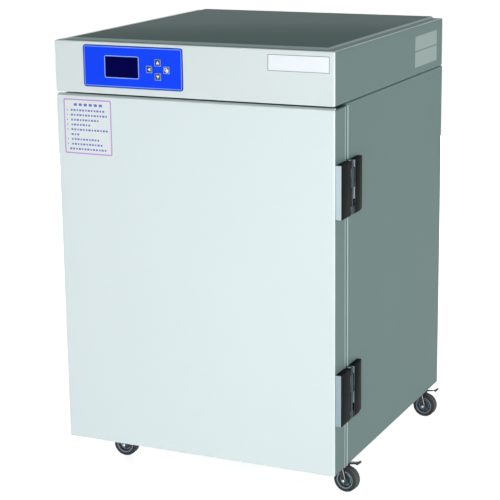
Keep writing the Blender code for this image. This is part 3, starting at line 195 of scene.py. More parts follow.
def object_coordinates(tree, scale=(1.0, 1.0, 1.0)):
    """Coordinates in metres that ride with the piece, stretched by a scale."""
    source = add(tree, "ShaderNodeTexCoord")
    mapping = add(tree, "ShaderNodeMapping", {"Scale": scale},
                  {"Vector": source.outputs["Object"]})
    return mapping.outputs["Vector"]


def grain(tree, shader, size_mm, depth_mm, vector, detail=2.0):
    """A bump of that grain size and depth; gives back its noise."""
    noise = add(tree, "ShaderNodeTexNoise", {"Scale": 1000.0 / size_mm, "Detail": detail},
                {"Vector": vector})
    bump = add(tree, "ShaderNodeBump", {"Distance": depth_mm / 1000.0, "Strength": 1.0},
               {"Height": noise.outputs["Fac"]})
    tree.links.new(bump.outputs["Normal"], shader.inputs["Normal"])
    return noise


def tone(tree, shader, colour, size_mm, drift, share=1.0):
    """A colour that drifts in lightness over patches of that size; gives back its noise."""
    noise = add(tree, "ShaderNodeTexNoise", {"Scale": 1000.0 / size_mm, "Detail": 3.0},
                {"Vector": object_coordinates(tree)})
    mix = add(tree, "ShaderNodeMix", {"A": shade(colour, share * (1 - drift)),
                                      "B": shade(colour, share * (1 + drift))},
              {"Factor": noise.outputs["Fac"]}, data_type="RGBA")
    tree.links.new(mix.outputs["Result"], shader.inputs["Base Color"])
    return noise


def surface(name, colour, patches=None, pits=None, sheen=None, cloudy=False,
            stretch=(1.0, 1.0, 1.0), detail=2.0, **inputs):
    """A material with what most of the incubator's surfaces have.

    Patches are a size and the drift of lightness between them, pits a size and a
    depth.  A sheen is the range of the roughness, which follows the pits, or the
    patches on a cloudy metal.  Sizes and depths are in millimetres.
    """
    made, tree, shader = new_material(name, **inputs)
    noises = []
    if patches:
        noises.append(tone(tree, shader, colour, *patches))
    else:
        shader.inputs["Base Color"].default_value = shade(colour)
    if pits:
        noises.append(grain(tree, shader, *pits, object_coordinates(tree, stretch), detail))
    if sheen:
        noise = noises[0 if cloudy else -1]
        rough = add(tree, "ShaderNodeMapRange", {"To Min": sheen[0], "To Max": sheen[1]},
                    {"Value": noise.outputs["Fac"]})
        tree.links.new(rough.outputs["Result"], shader.inputs["Roughness"])
    return made


# What the surfaces of one kind share.
POWDER = dict(colour="case", patches=(260.0, 0.03), pits=(2.2, 0.016), sheen=(0.45, 0.55),
              Roughness=0.5)
HEM = dict(patches=(90.0, 0.04), pits=(2.2, 0.012), Roughness=0.34, Specular_IOR_Level=0.15)
ENAMEL = dict(patches=(320.0, 0.015), pits=(3.5, 0.01), Roughness=0.3, Coat_Weight=0.25,
              Coat_Roughness=0.12)
INK = dict(patches=(8.0, 0.04), pits=(0.8, 0.004), Roughness=0.45)

# The finishes by their short names.  Each is named for what the real one is, or for the painted
# highlight that it stands for, and the comment over it tells what it gives the eye.
FINISHES = {
    # Steel sheet with a baked powder coat: an even low sheen with a fine orange peel.
    "powder_coat": dict(POWDER, name="powder_coat_grey_green", Specular_IOR_Level=0.12),
    # The coat on the cover, dulled by wiping: even a low view of it shows no white.
    "dulled_coat": dict(POWDER, name="powder_coat_dulled", Specular_IOR_Level=0.01),
    # The coat on the door's rolled hem, painted paler than the flats as a painted highlight of
    # the bend; a little glossier.
    "hem": dict(HEM, name="powder_coat_on_hem", colour="93ABAB"),
    # The same coat on the case's own hem and the head's right edge, painted paler still: a
    # painted highlight.
    "hem_worn": dict(HEM, name="powder_coat_on_worn_hem", colour="B4CCCC"),
    # The coat on the cover's folded rim and the head's left edge, painted a shade paler than on
    # the flats: a painted highlight.
    "rim": dict(HEM, name="powder_coat_on_rim", colour="A6C2C2"),
    # Steel sheet with a sprayed gloss enamel: pale, smooth, with a soft reflection.
    "gloss_enamel": dict(ENAMEL, name="gloss_enamel_white", colour="door"),
    # The same enamel from another batch on the fascia: a little greyer.
    "fascia_enamel": dict(ENAMEL, name="gloss_enamel_fascia", colour="fascia"),
    # Brushed-on satin enamel on the door's inner skin: pale, with a broad highlight.
    "satin_enamel": dict(name="satin_enamel_pale", colour="DDE3E2", patches=(200, 0.02),
                         pits=(2.5, 0.012), Roughness=0.38),
    # Stainless sheet brushed along its length: metal with fine lines that blur one way.
    "stainless": dict(name="brushed_stainless", colour="C4C7C8", pits=(1.2, 0.01),
                      sheen=(0.22, 0.4), stretch=(0.02, 0.02, 1), detail=4.0,
                      Metallic=1.0, Roughness=0.3),
    # Electropolished stainless wire: bright, with faint draw marks.
    "wire": dict(name="electropolished_wire", colour="CED1D2", pits=(1.5, 0.006),
                 sheen=(0.14, 0.28), Metallic=1.0, Roughness=0.2),
    # Bright zinc plate over pressed steel: silvery, with cloudy patches.
    "zinc": dict(name="bright_zinc_plate", colour="B4B8BA", patches=(14, 0.1),
                 pits=(1.6, 0.012), sheen=(0.26, 0.44), cloudy=True, Metallic=1.0,
                 Roughness=0.34),
    # Natural anodised extruded aluminium: a soft metallic grey with extrusion lines.
    "anodised": dict(name="anodised_aluminium", colour="C2C5C7", pits=(0.9, 0.008),
                     stretch=(1, 1, 0.03), Metallic=1.0, Roughness=0.34),
    # Turned brass, slightly dulled by handling: warm, with cloudy patches.
    "brass": dict(name="turned_brass", colour="C8A55C", patches=(9, 0.1),
                  pits=(0.6, 0.01), sheen=(0.22, 0.4), cloudy=True,
                  stretch=(0.1, 1, 0.1), Metallic=1.0, Roughness=0.3),
    # Clear float glass: sees through, with a faint green tint.
    "glass": dict(name="float_glass", colour="EFF7F4", pits=(60, 0.02), Roughness=0.02,
                  IOR=1.52, Transmission_Weight=1.0),
    # Extruded soft vinyl of the magnetic seal: matt, faintly dusty.
    "seal": dict(name="magnetic_seal_vinyl", colour="4A4E50", patches=(30, 0.12),
                 pits=(0.7, 0.02), Roughness=0.62),
    # Mineral wool slab: a matt, fibrous yellow.
    "wool": dict(name="mineral_wool", colour="C9BC8C", patches=(6, 0.25), pits=(1.5, 0.5),
                 stretch=(0.3, 1, 1), detail=5.0, Roughness=0.95),
    # Moulded ABS with a spark-eroded texture: matt black with a fine grain.
    "black": dict(name="moulded_abs_black", colour="1E1F20", patches=(25, 0.1),
                  pits=(0.6, 0.02), Roughness=0.48),
    # A circuit board's solder mask: a glossy green.
    "board": dict(name="solder_mask_green", colour="1E5A3C", patches=(12, 0.15),
                  pits=(1, 0.01), Roughness=0.35),
    # Drawn heater sheath, oxidised by heat: dull metal with light and dark patches.
    "heater": dict(name="oxidised_heater_sheath", colour="807A70", patches=(18, 0.3),
                   pits=(1, 0.01), Metallic=1.0, Roughness=0.45),
    # Clear acrylic over a display that is off: deep navy, nearly free of reflections.
    "window": dict(name="acrylic_display_window", colour="display", patches=(22, 0.25),
                   Roughness=0.1, Specular_IOR_Level=0.015),
    # Vulcanised rubber of a tyre's sides: matt black, with faint scuffs.
    "tyre": dict(name="vulcanised_rubber", colour="tyre", patches=(12, 0.18),
                 pits=(0.9, 0.05), Roughness=0.72),
    # The tyre's running face: the same rubber, worn dull and dusty.
    "tread": dict(name="worn_tread_rubber", colour="4A4F4A", patches=(7, 0.22),
                  pits=(0.8, 0.08), Roughness=0.85),
    # Moulded nylon of the wheel hubs: blue-grey with a waxy sheen.
    "nylon": dict(name="moulded_nylon", colour="hub", patches=(15, 0.1),
                  pits=(0.8, 0.015), Roughness=0.42),
    # The hub's raised rings, painted pale: a painted highlight on the rounded rings.
    "ring": dict(name="rubbed_nylon_ring", colour="8496A2", patches=(6, 0.1),
                 pits=(0.8, 0.01), Roughness=0.34),
    # Pressed steel with a black electrocoat: even, with a soft sheen on the bends.
    "electrocoat": dict(name="black_electrocoat", colour="1D1F22", patches=(20, 0.12),
                        pits=(1.2, 0.012), Roughness=0.38),
    # Clear film over the row card: a smooth, faint sheen on a pale sheet.
    "card_film": dict(name="clear_card_film", colour="E6EEF0", patches=(40, 0.01),
                      pits=(1.2, 0.004), Roughness=0.22),
    # Satin aluminium foil of the fascia's plate: pale, with long brush lines.
    "plate_foil": dict(name="satin_plate_foil", colour="EAF0F4", patches=(30, 0.02),
                       pits=(0.8, 0.004), stretch=(0.05, 1, 1), Metallic=0.2,
                       Roughness=0.3),
    # Tinted film of the head's side plates: a green grey that hardly shines.
    "tinted_film": dict(name="tinted_plate_film", colour="8AA39D", patches=(30, 0.03),
                        pits=(1, 0.006), Roughness=0.35),
    # Moulded key: dark navy, even, with a soft sheen.
    "key": dict(INK, name="key_navy_moulding", colour="key_face", Roughness=0.38),
    # Screen-printed inks: flat and even, with a slight tooth.
    "line_ink": dict(INK, name="pale_blue_ink", colour="key_line"),
    "mark_ink": dict(INK, name="key_mark_ink", colour="key_mark"),
    "border_ink": dict(INK, name="magenta_ink", colour="card_border"),
    "row_ink": dict(INK, name="violet_blue_ink", colour="card_ink"),
    "slate_ink": dict(INK, name="slate_ink", colour="75828F"),
}


def hinge_enamel_with_painted_reflection():
    """Cast hinge leaf: black enamel, with its front face painted pale, as bare metal with a
    painted reflection.
    """
    made, tree, shader = new_material("hinge_black_and_bright", Roughness=0.46,
                                      Specular_IOR_Level=0.015)
    front_most, knuckle_radius, lowest, highest = -0.8, 0.0046, 0.1, 0.66
    coords = add(tree, "ShaderNodeTexCoord")
    normal = add(tree, "ShaderNodeSeparateXYZ", links={"Vector": coords.outputs["Normal"]})
    parts = add(tree, "ShaderNodeSeparateXYZ", links={"Vector": coords.outputs["Object"]})
    # Faces that look to the front take the pale colour: bare metal with a painted reflection.
    front = add(tree, "ShaderNodeMath", {1: front_most}, {0: normal.outputs["Y"]},
                operation="LESS_THAN")
    noise = add(tree, "ShaderNodeTexNoise", {"Scale": 120.0, "Detail": 3.0},
                {"Vector": coords.outputs["Object"]})
    black = add(tree, "ShaderNodeMix", {"A": shade("0E1211"), "B": shade("161B1A")},
                {"Factor": noise.outputs["Fac"]}, data_type="RGBA")
    # Round the knuckles the enamel is painted a blue-grey: a painted reflection on the round
    # knuckles.
    pin = JOINTS["door_swing"]["pos_m"]
    knuckle_band = add(tree, "ShaderNodeMath", {1: pin[1], 2: knuckle_radius},
                 {0: parts.outputs["Y"]}, operation="COMPARE")
    knuckle = add(tree, "ShaderNodeMix", {"B": shade("505F66")},
                  {"Factor": knuckle_band.outputs["Value"], "A": black.outputs["Result"]},
                  data_type="RGBA")
    # The front face is painted paler towards the upper hinge: a painted highlight.
    height = add(tree, "ShaderNodeMapRange", {"From Min": lowest, "From Max": highest},
                 {"Value": parts.outputs["Z"]})
    bright = add(tree, "ShaderNodeMix", {"A": shade("96AEB3"), "B": shade("C6D8DF")},
                 {"Factor": height.outputs["Result"]}, data_type="RGBA")
    face = add(tree, "ShaderNodeMix", links={
        "Factor": front.outputs["Value"], "A": knuckle.outputs["Result"],
        "B": bright.outputs["Result"]}, data_type="RGBA")
    tree.links.new(face.outputs["Result"], shader.inputs["Base Color"])
    grain(tree, shader, 1.4, 0.012, coords.outputs["Object"])
    return made


def printed_film():
    """Polyester film printed on its back: flat blue with a dark rim and a paler line,
    under a clear sheen."""
    made, tree, shader = new_material("printed_polyester_film", Roughness=0.4,
                                      Specular_IOR_Level=0.12)
    coords = object_coordinates(tree)
    low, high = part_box("keypad_panel")
    radius = 0.005
    edge = rounded_distance(tree, coords, (low + high) / 2, (high - low) / 2, radius)
    # The ramp runs from the film's edge to ten millimetres inside it.
    inward = add(tree, "ShaderNodeMath", {1: -100.0}, {0: edge}, operation="MULTIPLY")
    ramp = add(tree, "ShaderNodeValToRGB", links={"Fac": inward.outputs["Value"]})
    stops = ramp.color_ramp.elements
    stops[0].color = shade("keypad_rim")
    stops[1].color = shade("keypad")
    for place, colour in ((0.17, "keypad_rim"), (0.21, "keypad_line"),
                          (0.35, "keypad_line"), (0.4, "keypad")):
        stops.new(place).color = shade(colour)
    tree.links.new(ramp.outputs["Color"], shader.inputs["Base Color"])
    grain(tree, shader, 1.0, 0.006, coords)
    return made


def rounded_distance(tree, coords, centre, half, radius):
    """The distance outside a rounded rectangle in the x-z plane; negative inside."""
    aside = add(tree, "ShaderNodeVectorMath", {1: centre}, {0: coords}, operation="SUBTRACT")
    size = add(tree, "ShaderNodeVectorMath", links={0: aside.outputs["Vector"]},
               operation="ABSOLUTE")
    # One metre along y keeps that length out of the measure.
    outside = add(tree, "ShaderNodeVectorMath", {1: (half.x - radius, 1.0, half.z - radius)},
                  {0: size.outputs["Vector"]}, operation="SUBTRACT")
    corner = add(tree, "ShaderNodeVectorMath", links={0: outside.outputs["Vector"]},
                 operation="MAXIMUM")
    length = add(tree, "ShaderNodeVectorMath", links={0: corner.outputs["Vector"]},
                 operation="LENGTH")
    parts = add(tree, "ShaderNodeSeparateXYZ", links={"Vector": outside.outputs["Vector"]})
    nearest = add(tree, "ShaderNodeMath", links={0: parts.outputs["X"], 1: parts.outputs["Z"]},
                  operation="MAXIMUM")
    inside = add(tree, "ShaderNodeMath", {1: 0.0}, {0: nearest.outputs["Value"]},
                 operation="MINIMUM")
    total = add(tree, "ShaderNodeMath", links={0: length.outputs["Value"],
                                               1: inside.outputs["Value"]}, operation="ADD")
    shifted = add(tree, "ShaderNodeMath", {1: radius}, {0: total.outputs["Value"]},
                  operation="SUBTRACT")
    return shifted.outputs["Value"]


SPECIAL = {"hinge": hinge_enamel_with_painted_reflection, "keypad_film": printed_film}
made_finishes = {}


def look(name):
    """A finish by its short name, made once."""
    if name not in made_finishes:
        made_finishes[name] = SPECIAL[name]() if name in SPECIAL else \
            surface(**FINISHES[name])
    return made_finishes[name]


def dress(node, finish, edge=0.0, smooth=True):
    """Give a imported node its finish.

    With an edge its corners are rounded, to catch the light; a smooth piece without
    one keeps its flats flat between its own bends.
    """
    piece = NODES[node]
    piece.data.materials.clear()
    piece.data.materials.append(look(finish))
    if smooth:
        piece.data.shade_smooth()
    weld = piece.modifiers.new("Weld", "WELD")
    weld.merge_threshold = 0.00001
    if edge:
        bevel(piece, edge)
    elif smooth:
        split = piece.modifiers.new("Split", "EDGE_SPLIT")
        split.split_angle = math.radians(50)
        piece.modifiers.new("Flats", "WEIGHTED_NORMAL")


def piece_from(name, shape, finish, body, smooth=True):
    """A new piece from a bmesh, riding on a body."""
    mesh = bpy.data.meshes.new(name)
    bmesh.ops.recalc_face_normals(shape, faces=shape.faces)
    shape.to_mesh(mesh)
    shape.free()
    if smooth:
        mesh.shade_smooth()
        mesh.set_sharp_from_angle(angle=math.radians(35))
    mesh.materials.append(look(finish))
    made = bpy.data.objects.new(name, mesh)
    bpy.context.scene.collection.objects.link(made)
    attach(made, body)
    return made


def outline_rounded(width, height, radius, steps=6):
    """Points round a rounded rectangle about the origin, anticlockwise."""
    points = []
    for corner, (x, z) in enumerate(((1, 1), (-1, 1), (-1, -1), (1, -1))):
        for step in range(steps + 1):
            angle = math.pi / 2 * (corner + step / steps)
            points.append((x * (width / 2 - radius) + radius * math.cos(angle),
                           z * (height / 2 - radius) + radius * math.sin(angle)))
    return points


# Places that make a slab a rod: upright, with its outline in y and x, or lying across,
# with its outline in y and z.
UPRIGHT = Matrix(((0, 0, 1, 0), (1, 0, 0, 0), (0, 1, 0, 0), (0, 0, 0, 1)))
ACROSS = Matrix(((0, 1, 0, 0), (1, 0, 0, 0), (0, 0, 1, 0), (0, 0, 0, 1)))


def slab(shape, outline, low, high, place):
    """Add a flat slab with that outline in x and z, between two levels of y."""
    front = [shape.verts.new(place @ Vector((x, low, z))) for x, z in outline]
    back = [shape.verts.new(place @ Vector((x, high, z))) for x, z in outline]
    shape.faces.new(front)
    shape.faces.new(list(reversed(back)))
    for i in range(len(outline)):
        j = (i + 1) % len(outline)
        shape.faces.new((front[j], front[i], back[i], back[j]))


def join_rings(shape, rings):
    """Add the faces between rings of as many points each, from the last to the first too."""
    count = len(rings[0])
    for near, far in zip(rings, rings[1:] + rings[:1]):
        for i in range(count):
            j = (i + 1) % count
            shape.faces.new((near[i], near[j], far[j], far[i]))


def frame_slab(shape, outer, inner, low, high, place):
    """Add a flat ring between two outlines with as many points each."""
    corners = ((outer, low), (inner, low), (inner, high), (outer, high))
    join_rings(shape, [[shape.verts.new(place @ Vector((x, level, z))) for x, z in outline]
                       for outline, level in corners])


def flat_piece(name, outlines, levels, place, finish, body, smooth=False):
    """A piece that is one slab, or one ring where there are two outlines."""
    shape = bmesh.new()
    make = slab if len(outlines) == 1 else frame_slab
    make(shape, *outlines, *levels, place)
    return piece_from(name, shape, finish, body, smooth)


def lathe(shape, profile, sides, place):
    """Add a turned form: the profile's (radius, height) pairs, about the z axis."""
    rings = []
    for step in range(sides):
        angle = 2 * math.pi * step / sides
        rings.append([shape.verts.new(place @ Vector((r * math.cos(angle),
                                                      r * math.sin(angle), h)))
                      for r, h in profile])
    join_rings(shape, rings)


def bevel(piece, width):
    """Round a piece's edges."""
    edge = piece.modifiers.new("Edge", "BEVEL")
    edge.width = width
    edge.segments = 2
    edge.limit_method = "ANGLE"
    edge.angle_limit = math.radians(40)
    edge.harden_normals = True


def at(x, y, z):
    """A place without a turn."""
    return Matrix.Translation((x, y, z))


class INCUBATOR_OT_cabinet(bpy.types.Operator):
    """Finish the case, the head, the door and the panels"""

    bl_idname = "incubator.cabinet"
    bl_label = "Cabinet Finishes"

    def execute(self, context):
        fine = sizes().fine_edge
        for node in ("outer_case", "head_shell", "door_tray", "rear_panel"):
            dress(node, "powder_coat")
        dress("top_cover", "dulled_coat", fine)
        dress("door_panel", "gloss_enamel")
        dress("control_fascia", "fascia_enamel")
        dress("base_plate", "zinc", fine)
        self.hems()
        self.door_fold()
        self.cover_edging()
        self.head_ridges()
        return {"FINISHED"}

    def hems(self):
        """Low rolled hem strips on both sides of the seam between the door and the case, in
        paler coats: painted highlights of the bends beside the seam.
        """
        tray_low, tray_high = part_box("door_tray")
        case_low, case_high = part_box("outer_case")
        settings = sizes()
        inset, case_hem_share, steps = 0.0012, 0.85, 8
        pairs = (("door", "door", "hem", tray_low.z, tray_high.y - settings.hem,
                  tray_high.y - inset),
                 ("case", "cabinet", "hem_worn", case_low.z, case_low.y + inset,
                  case_low.y + settings.hem * case_hem_share))
        for side, x, rise in (("left", case_low.x, -settings.print_rise),
                              ("right", case_high.x, settings.hem_rise)):
            for name, body, finish, foot, start, end in pairs:
                middle, reach = (start + end) / 2, (end - start) / 2
                turns = [math.pi * step / steps for step in range(steps + 1)]
                outline = [(middle - reach * math.cos(turn), x + rise * math.sin(turn))
                           for turn in turns]
                flat_piece("hem_%s_%s" % (name, side), [outline], (foot, tray_high.z),
                           UPRIGHT, finish, body, smooth=True)

    def door_fold(self):
        """The front sheet's flange over the top of the door, with a lip that sheds water."""
        low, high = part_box("door_panel")
        top = max(high.z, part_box("door_tray")[1].z)
        inset = 0.002
        profile = [(0.0012, -0.0002), (0.0058, 0.0026), (0.01, 0.0026), (0.01, -0.0002)]
        flat_piece("door_top_fold", [[(low.y + y, top + z) for y, z in profile]],
                   (low.x + inset, high.x - inset), ACROSS, "gloss_enamel", "door")

    def cover_edging(self):
        """The cover's folded rim, which slopes down to the head on three sides, coated paler as
        a painted highlight.
        """
        low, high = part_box("top_cover")
        gap = 0.0001
        base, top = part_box("head_shell")[1].z + gap, high.z - gap
        front, side = 0.01, 0.003
        inner = [(low.x, high.y), (low.x, low.y), (high.x, low.y), (high.x, high.y)]
        outer = [(low.x - side, high.y), (low.x - side, low.y - front),
                 (high.x + side, low.y - front), (high.x + side, high.y)]
        shape = bmesh.new()
        upper = [shape.verts.new((x, y, top)) for x, y in inner]
        lower = [shape.verts.new((x, y, base)) for x, y in outer]
        under = [shape.verts.new((x, y, base)) for x, y in inner]
        for i in range(3):
            shape.faces.new((upper[i], upper[i + 1], lower[i + 1], lower[i]))
            shape.faces.new((lower[i], lower[i + 1], under[i + 1], under[i]))
            shape.faces.new((under[i], under[i + 1], upper[i + 1], upper[i]))
        for i in (0, 3):
            shape.faces.new((upper[i], lower[i], under[i]))
        piece_from("cover_edging", shape, "rim", "cabinet", False)

    def head_ridges(self):
        """Pale strips along the head's top edges, where its side sheets are folded over, wider
        on the left: painted highlights.
        """
        low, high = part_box("head_shell")
        inset = 0.002
        for name, x, width, finish in (("left", low.x + 0.011, 0.015, "rim"),
                                       ("right", high.x - 0.0011, 0.002, "hem_worn")):
            flat_piece("head_ridge_" + name, [outline_rounded(width, 0.0012, 0.0005, 3)],
                       (low.y + inset, high.y - inset), at(x, 0, high.z + 0.0001), finish,
                       "cabinet", smooth=True)


class INCUBATOR_OT_inside(bpy.types.Operator):
    """Finish the chamber, the glass door, the shelves and the hidden inner parts"""

    bl_idname = "incubator.inside"
    bl_label = "Inner Finishes"

    def execute(self, context):
        fine = sizes().fine_edge
        for node in ("front_frame", "inner_chamber", "water_jacket"):
            dress(node, "stainless")
        for node in ("temperature_probe", "shelf_upper", "shelf_lower"):
            dress(node, "wire")
        dress("door_liner", "satin_enamel")
        dress("door_gasket", "seal", fine)
        dress("glass_frame", "anodised", fine)
        dress("glass_pane", "glass", smooth=False)
        dress("glass_knob", "black")
        for node in ("insulation", "door_insulation"):
            dress(node, "wool", smooth=False)
        dress("heater_element", "heater")
        dress("control_board", "board", smooth=False)
        return {"FINISHED"}


class INCUBATOR_OT_rear(bpy.types.Operator):
    """Finish the water fittings, the inlet and its switch"""

    bl_idname = "incubator.rear"
    bl_label = "Rear Fittings"

    def execute(self, context):
        fine = sizes().fine_edge
        for node in ("filler_neck", "filler_lid", "drain_handle", "power_inlet",
                     "power_switch"):
            dress(node, "black", fine)
        for node in ("overflow_pipe", "drain_valve"):
            dress(node, "brass", fine)
        return {"FINISHED"}


class INCUBATOR_OT_keypad(bpy.types.Operator):
    """Print the keypad's film, the display's frame and the marks on the keys"""

    bl_idname = "incubator.keypad"
    bl_label = "Keypad"

    def execute(self, context):
        settings = sizes()
        dress("keypad_panel", "keypad_film", smooth=False)
        dress("display_window", "window", smooth=False)
        self.display_frame(settings.print_rise)
        for name in ("up", "left", "down", "menu"):
            dress("key_" + name, "key", settings.fine_edge)
            self.key_marks(name, settings.print_rise)
        return {"FINISHED"}

    def display_frame(self, rise):
        """The pale line printed round the display window."""
        low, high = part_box("display_window")
        centre, size = (low + high) / 2, high - low
        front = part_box("keypad_panel")[0].y
        width = 0.0014
        outlines = (outline_rounded(size.x + 2 * width, size.z + 2 * width, 0.0034),
                    outline_rounded(size.x, size.z, 0.002))
        flat_piece("display_frame", outlines, (front - rise, front), at(centre.x, 0, centre.z),
                   "line_ink", "cabinet")

    def key_marks(self, name, rise):
        """A key's outline, and its arrow or its menu sign of two small sheets."""
        node = "key_" + name
        low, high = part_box(node)
        centre, front, size = (low + high) / 2, low.y, high.x - low.x
        place = at(centre.x, 0, centre.z)
        margin, line = 0.0002, 0.00085
        outer, inner = size - margin, size - margin - 2 * line
        flat_piece("outline_" + node, (outline_rounded(outer, outer, 0.0014, 3),
                                       outline_rounded(inner, inner, 0.0008, 3)),
                   (front - rise, front), place, "line_ink", node)
        shape = bmesh.new()
        if name == "menu":
            across, down = 0.0013, 0.0012
            frame_slab(shape, outline_rounded(0.0054, 0.0064, 0.0005, 2),
                       outline_rounded(0.003, 0.004, 0.0003, 2), front - rise * 0.9,
                       front, place @ at(-across, 0, down))
            slab(shape, outline_rounded(0.0052, 0.0062, 0.0004, 2), front - rise, front,
                 place @ at(across, 0, -down))
        else:
            turn = math.radians({"up": 0.0, "left": -90.0, "down": 180.0}[name])
            reach = 0.0035
            points = [(0.0, reach), (-reach, -reach * 0.75), (reach, -reach * 0.75)]
            slab(shape, points, front - rise, front, place @ Matrix.Rotation(turn, 4, "Y"))
        piece_from("marks_" + node, shape, "mark_ink", node, False)


class INCUBATOR_OT_plates(bpy.types.Operator):
    """Add the row card on the door and the bare plates on the head"""

    bl_idname = "incubator.plates"
    bl_label = "Card and Plates"

    def execute(self, context):
        self.row_card(sizes())
        self.fascia_plate(sizes())
        self.side_plates()
        return {"FINISHED"}

    def row_card(self, settings):
        """The sheet on the door, with a coloured border, near the top left corner."""
        low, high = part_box("door_panel")
        rise, width, height = settings.print_rise, settings.card_width, settings.card_height
        aside, drop, film, border = 0.22025, 0.0067, 0.001, 0.0025
        x, z = (low.x + high.x) / 2 - aside, high.z - drop - height / 2
        level = low.y - rise
        sheet = outline_rounded(width + film, height + film, 0.0045)
        flat_piece("row_card", [sheet], (level, low.y), at(x, 0, z), "card_film", "door")
        outlines = (outline_rounded(width, height, 0.004),
                    outline_rounded(width - 2 * border, height - 2 * border, 0.0022))
        flat_piece("row_card_border", outlines, (level - rise, level), at(x, 0, z),
                   "border_ink", "door")
        self.card_rows(x - width / 2 + 0.0075, z + height / 2 - 0.011, level, rise)

    def card_rows(self, left, top, level, rise):
        """Rows of short dashes: a heading, numbered places and a closing line."""
        shape = bmesh.new()

        def dash(x, z, width, height, radius):
            slab(shape, outline_rounded(width, height, radius, 2), level - rise, level,
                 at(x, 0, z))

        for i in range(6):
            dash(left + 0.0185 + i * 0.011, top, 0.0068, 0.005, 0.0012)
        unnumbered, closing = (5, 8), 8
        for row, count in enumerate((12, 13, 10, 7, 13, 3, 10, 11, 13)):
            row_z = top - 0.0108 - row * 0.0094
            if row not in unnumbered:
                dash(left, row_z, 0.0015, 0.0028, 0.0004)
            start = left + (0.006 if row == closing else 0.01)
            for i in range(count):
                width = 0.004 + 0.001 * math.sin(2.3 * i + 1.7 * row)
                dash(start + i * 0.0063, row_z, width, 0.0036, 0.0007)
        piece_from("row_card_rows", shape, "row_ink", "door", False)

    def fascia_plate(self, settings):
        """The bare plate on the right of the fascia, with a line inside its edge."""
        low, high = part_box("control_fascia")
        width, height = settings.plate_width, settings.plate_height
        aside, up, thick, ink, margin, line = 0.21805, 0.0744, 0.0004, 0.0001, 0.0005, 0.0012
        place = at((low.x + high.x) / 2 + aside, 0, low.z + up)
        level = low.y - thick
        plate = flat_piece("fascia_plate", [outline_rounded(width, height, 0.0012, 3)],
                           (level, low.y), place, "plate_foil", "cabinet",
                           smooth=True)
        bevel(plate, width=0.00015)
        outer, inner = 2 * margin, 2 * (margin + line)
        outlines = (outline_rounded(width - outer, height - outer, 0.001, 3),
                    outline_rounded(width - inner, height - inner, 0.0006, 3))
        flat_piece("fascia_plate_line", outlines, (level - ink, level), place, "slate_ink",
                   "cabinet")

    def side_plates(self):
        """The two bare plates, one over the other, on the head's right side."""
        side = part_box("head_shell")[1].x
        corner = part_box("control_fascia")[0]
        near, far, thick = corner.y + 0.4307, corner.y + 0.5658, 0.0004
        turn = Matrix.Rotation(math.radians(90), 4, "Z")
        for name, start, end in (("lower", 0.0156, 0.0467), ("upper", 0.049, 0.0779)):
            place = at(side, (near + far) / 2, corner.z + (start + end) / 2) @ turn
            outline = outline_rounded(far - near, end - start, 0.0015, 3)
            plate = flat_piece("side_plate_" + name, [outline], (-thick, 0.0), place,
                               "tinted_film", "cabinet", smooth=True)
            bevel(plate, width=0.00015)


class INCUBATOR_OT_hinges(bpy.types.Operator):
    """Finish the two door hinges"""

    bl_idname = "incubator.hinges"
    bl_label = "Hinges"

    def execute(self, context):
        for place in ("upper", "lower"):
            for leaf in ("hinge_door_leaf_", "hinge_cabinet_leaf_"):
                dress(leaf + place, "hinge", sizes().fine_edge)
        return {"FINISHED"}


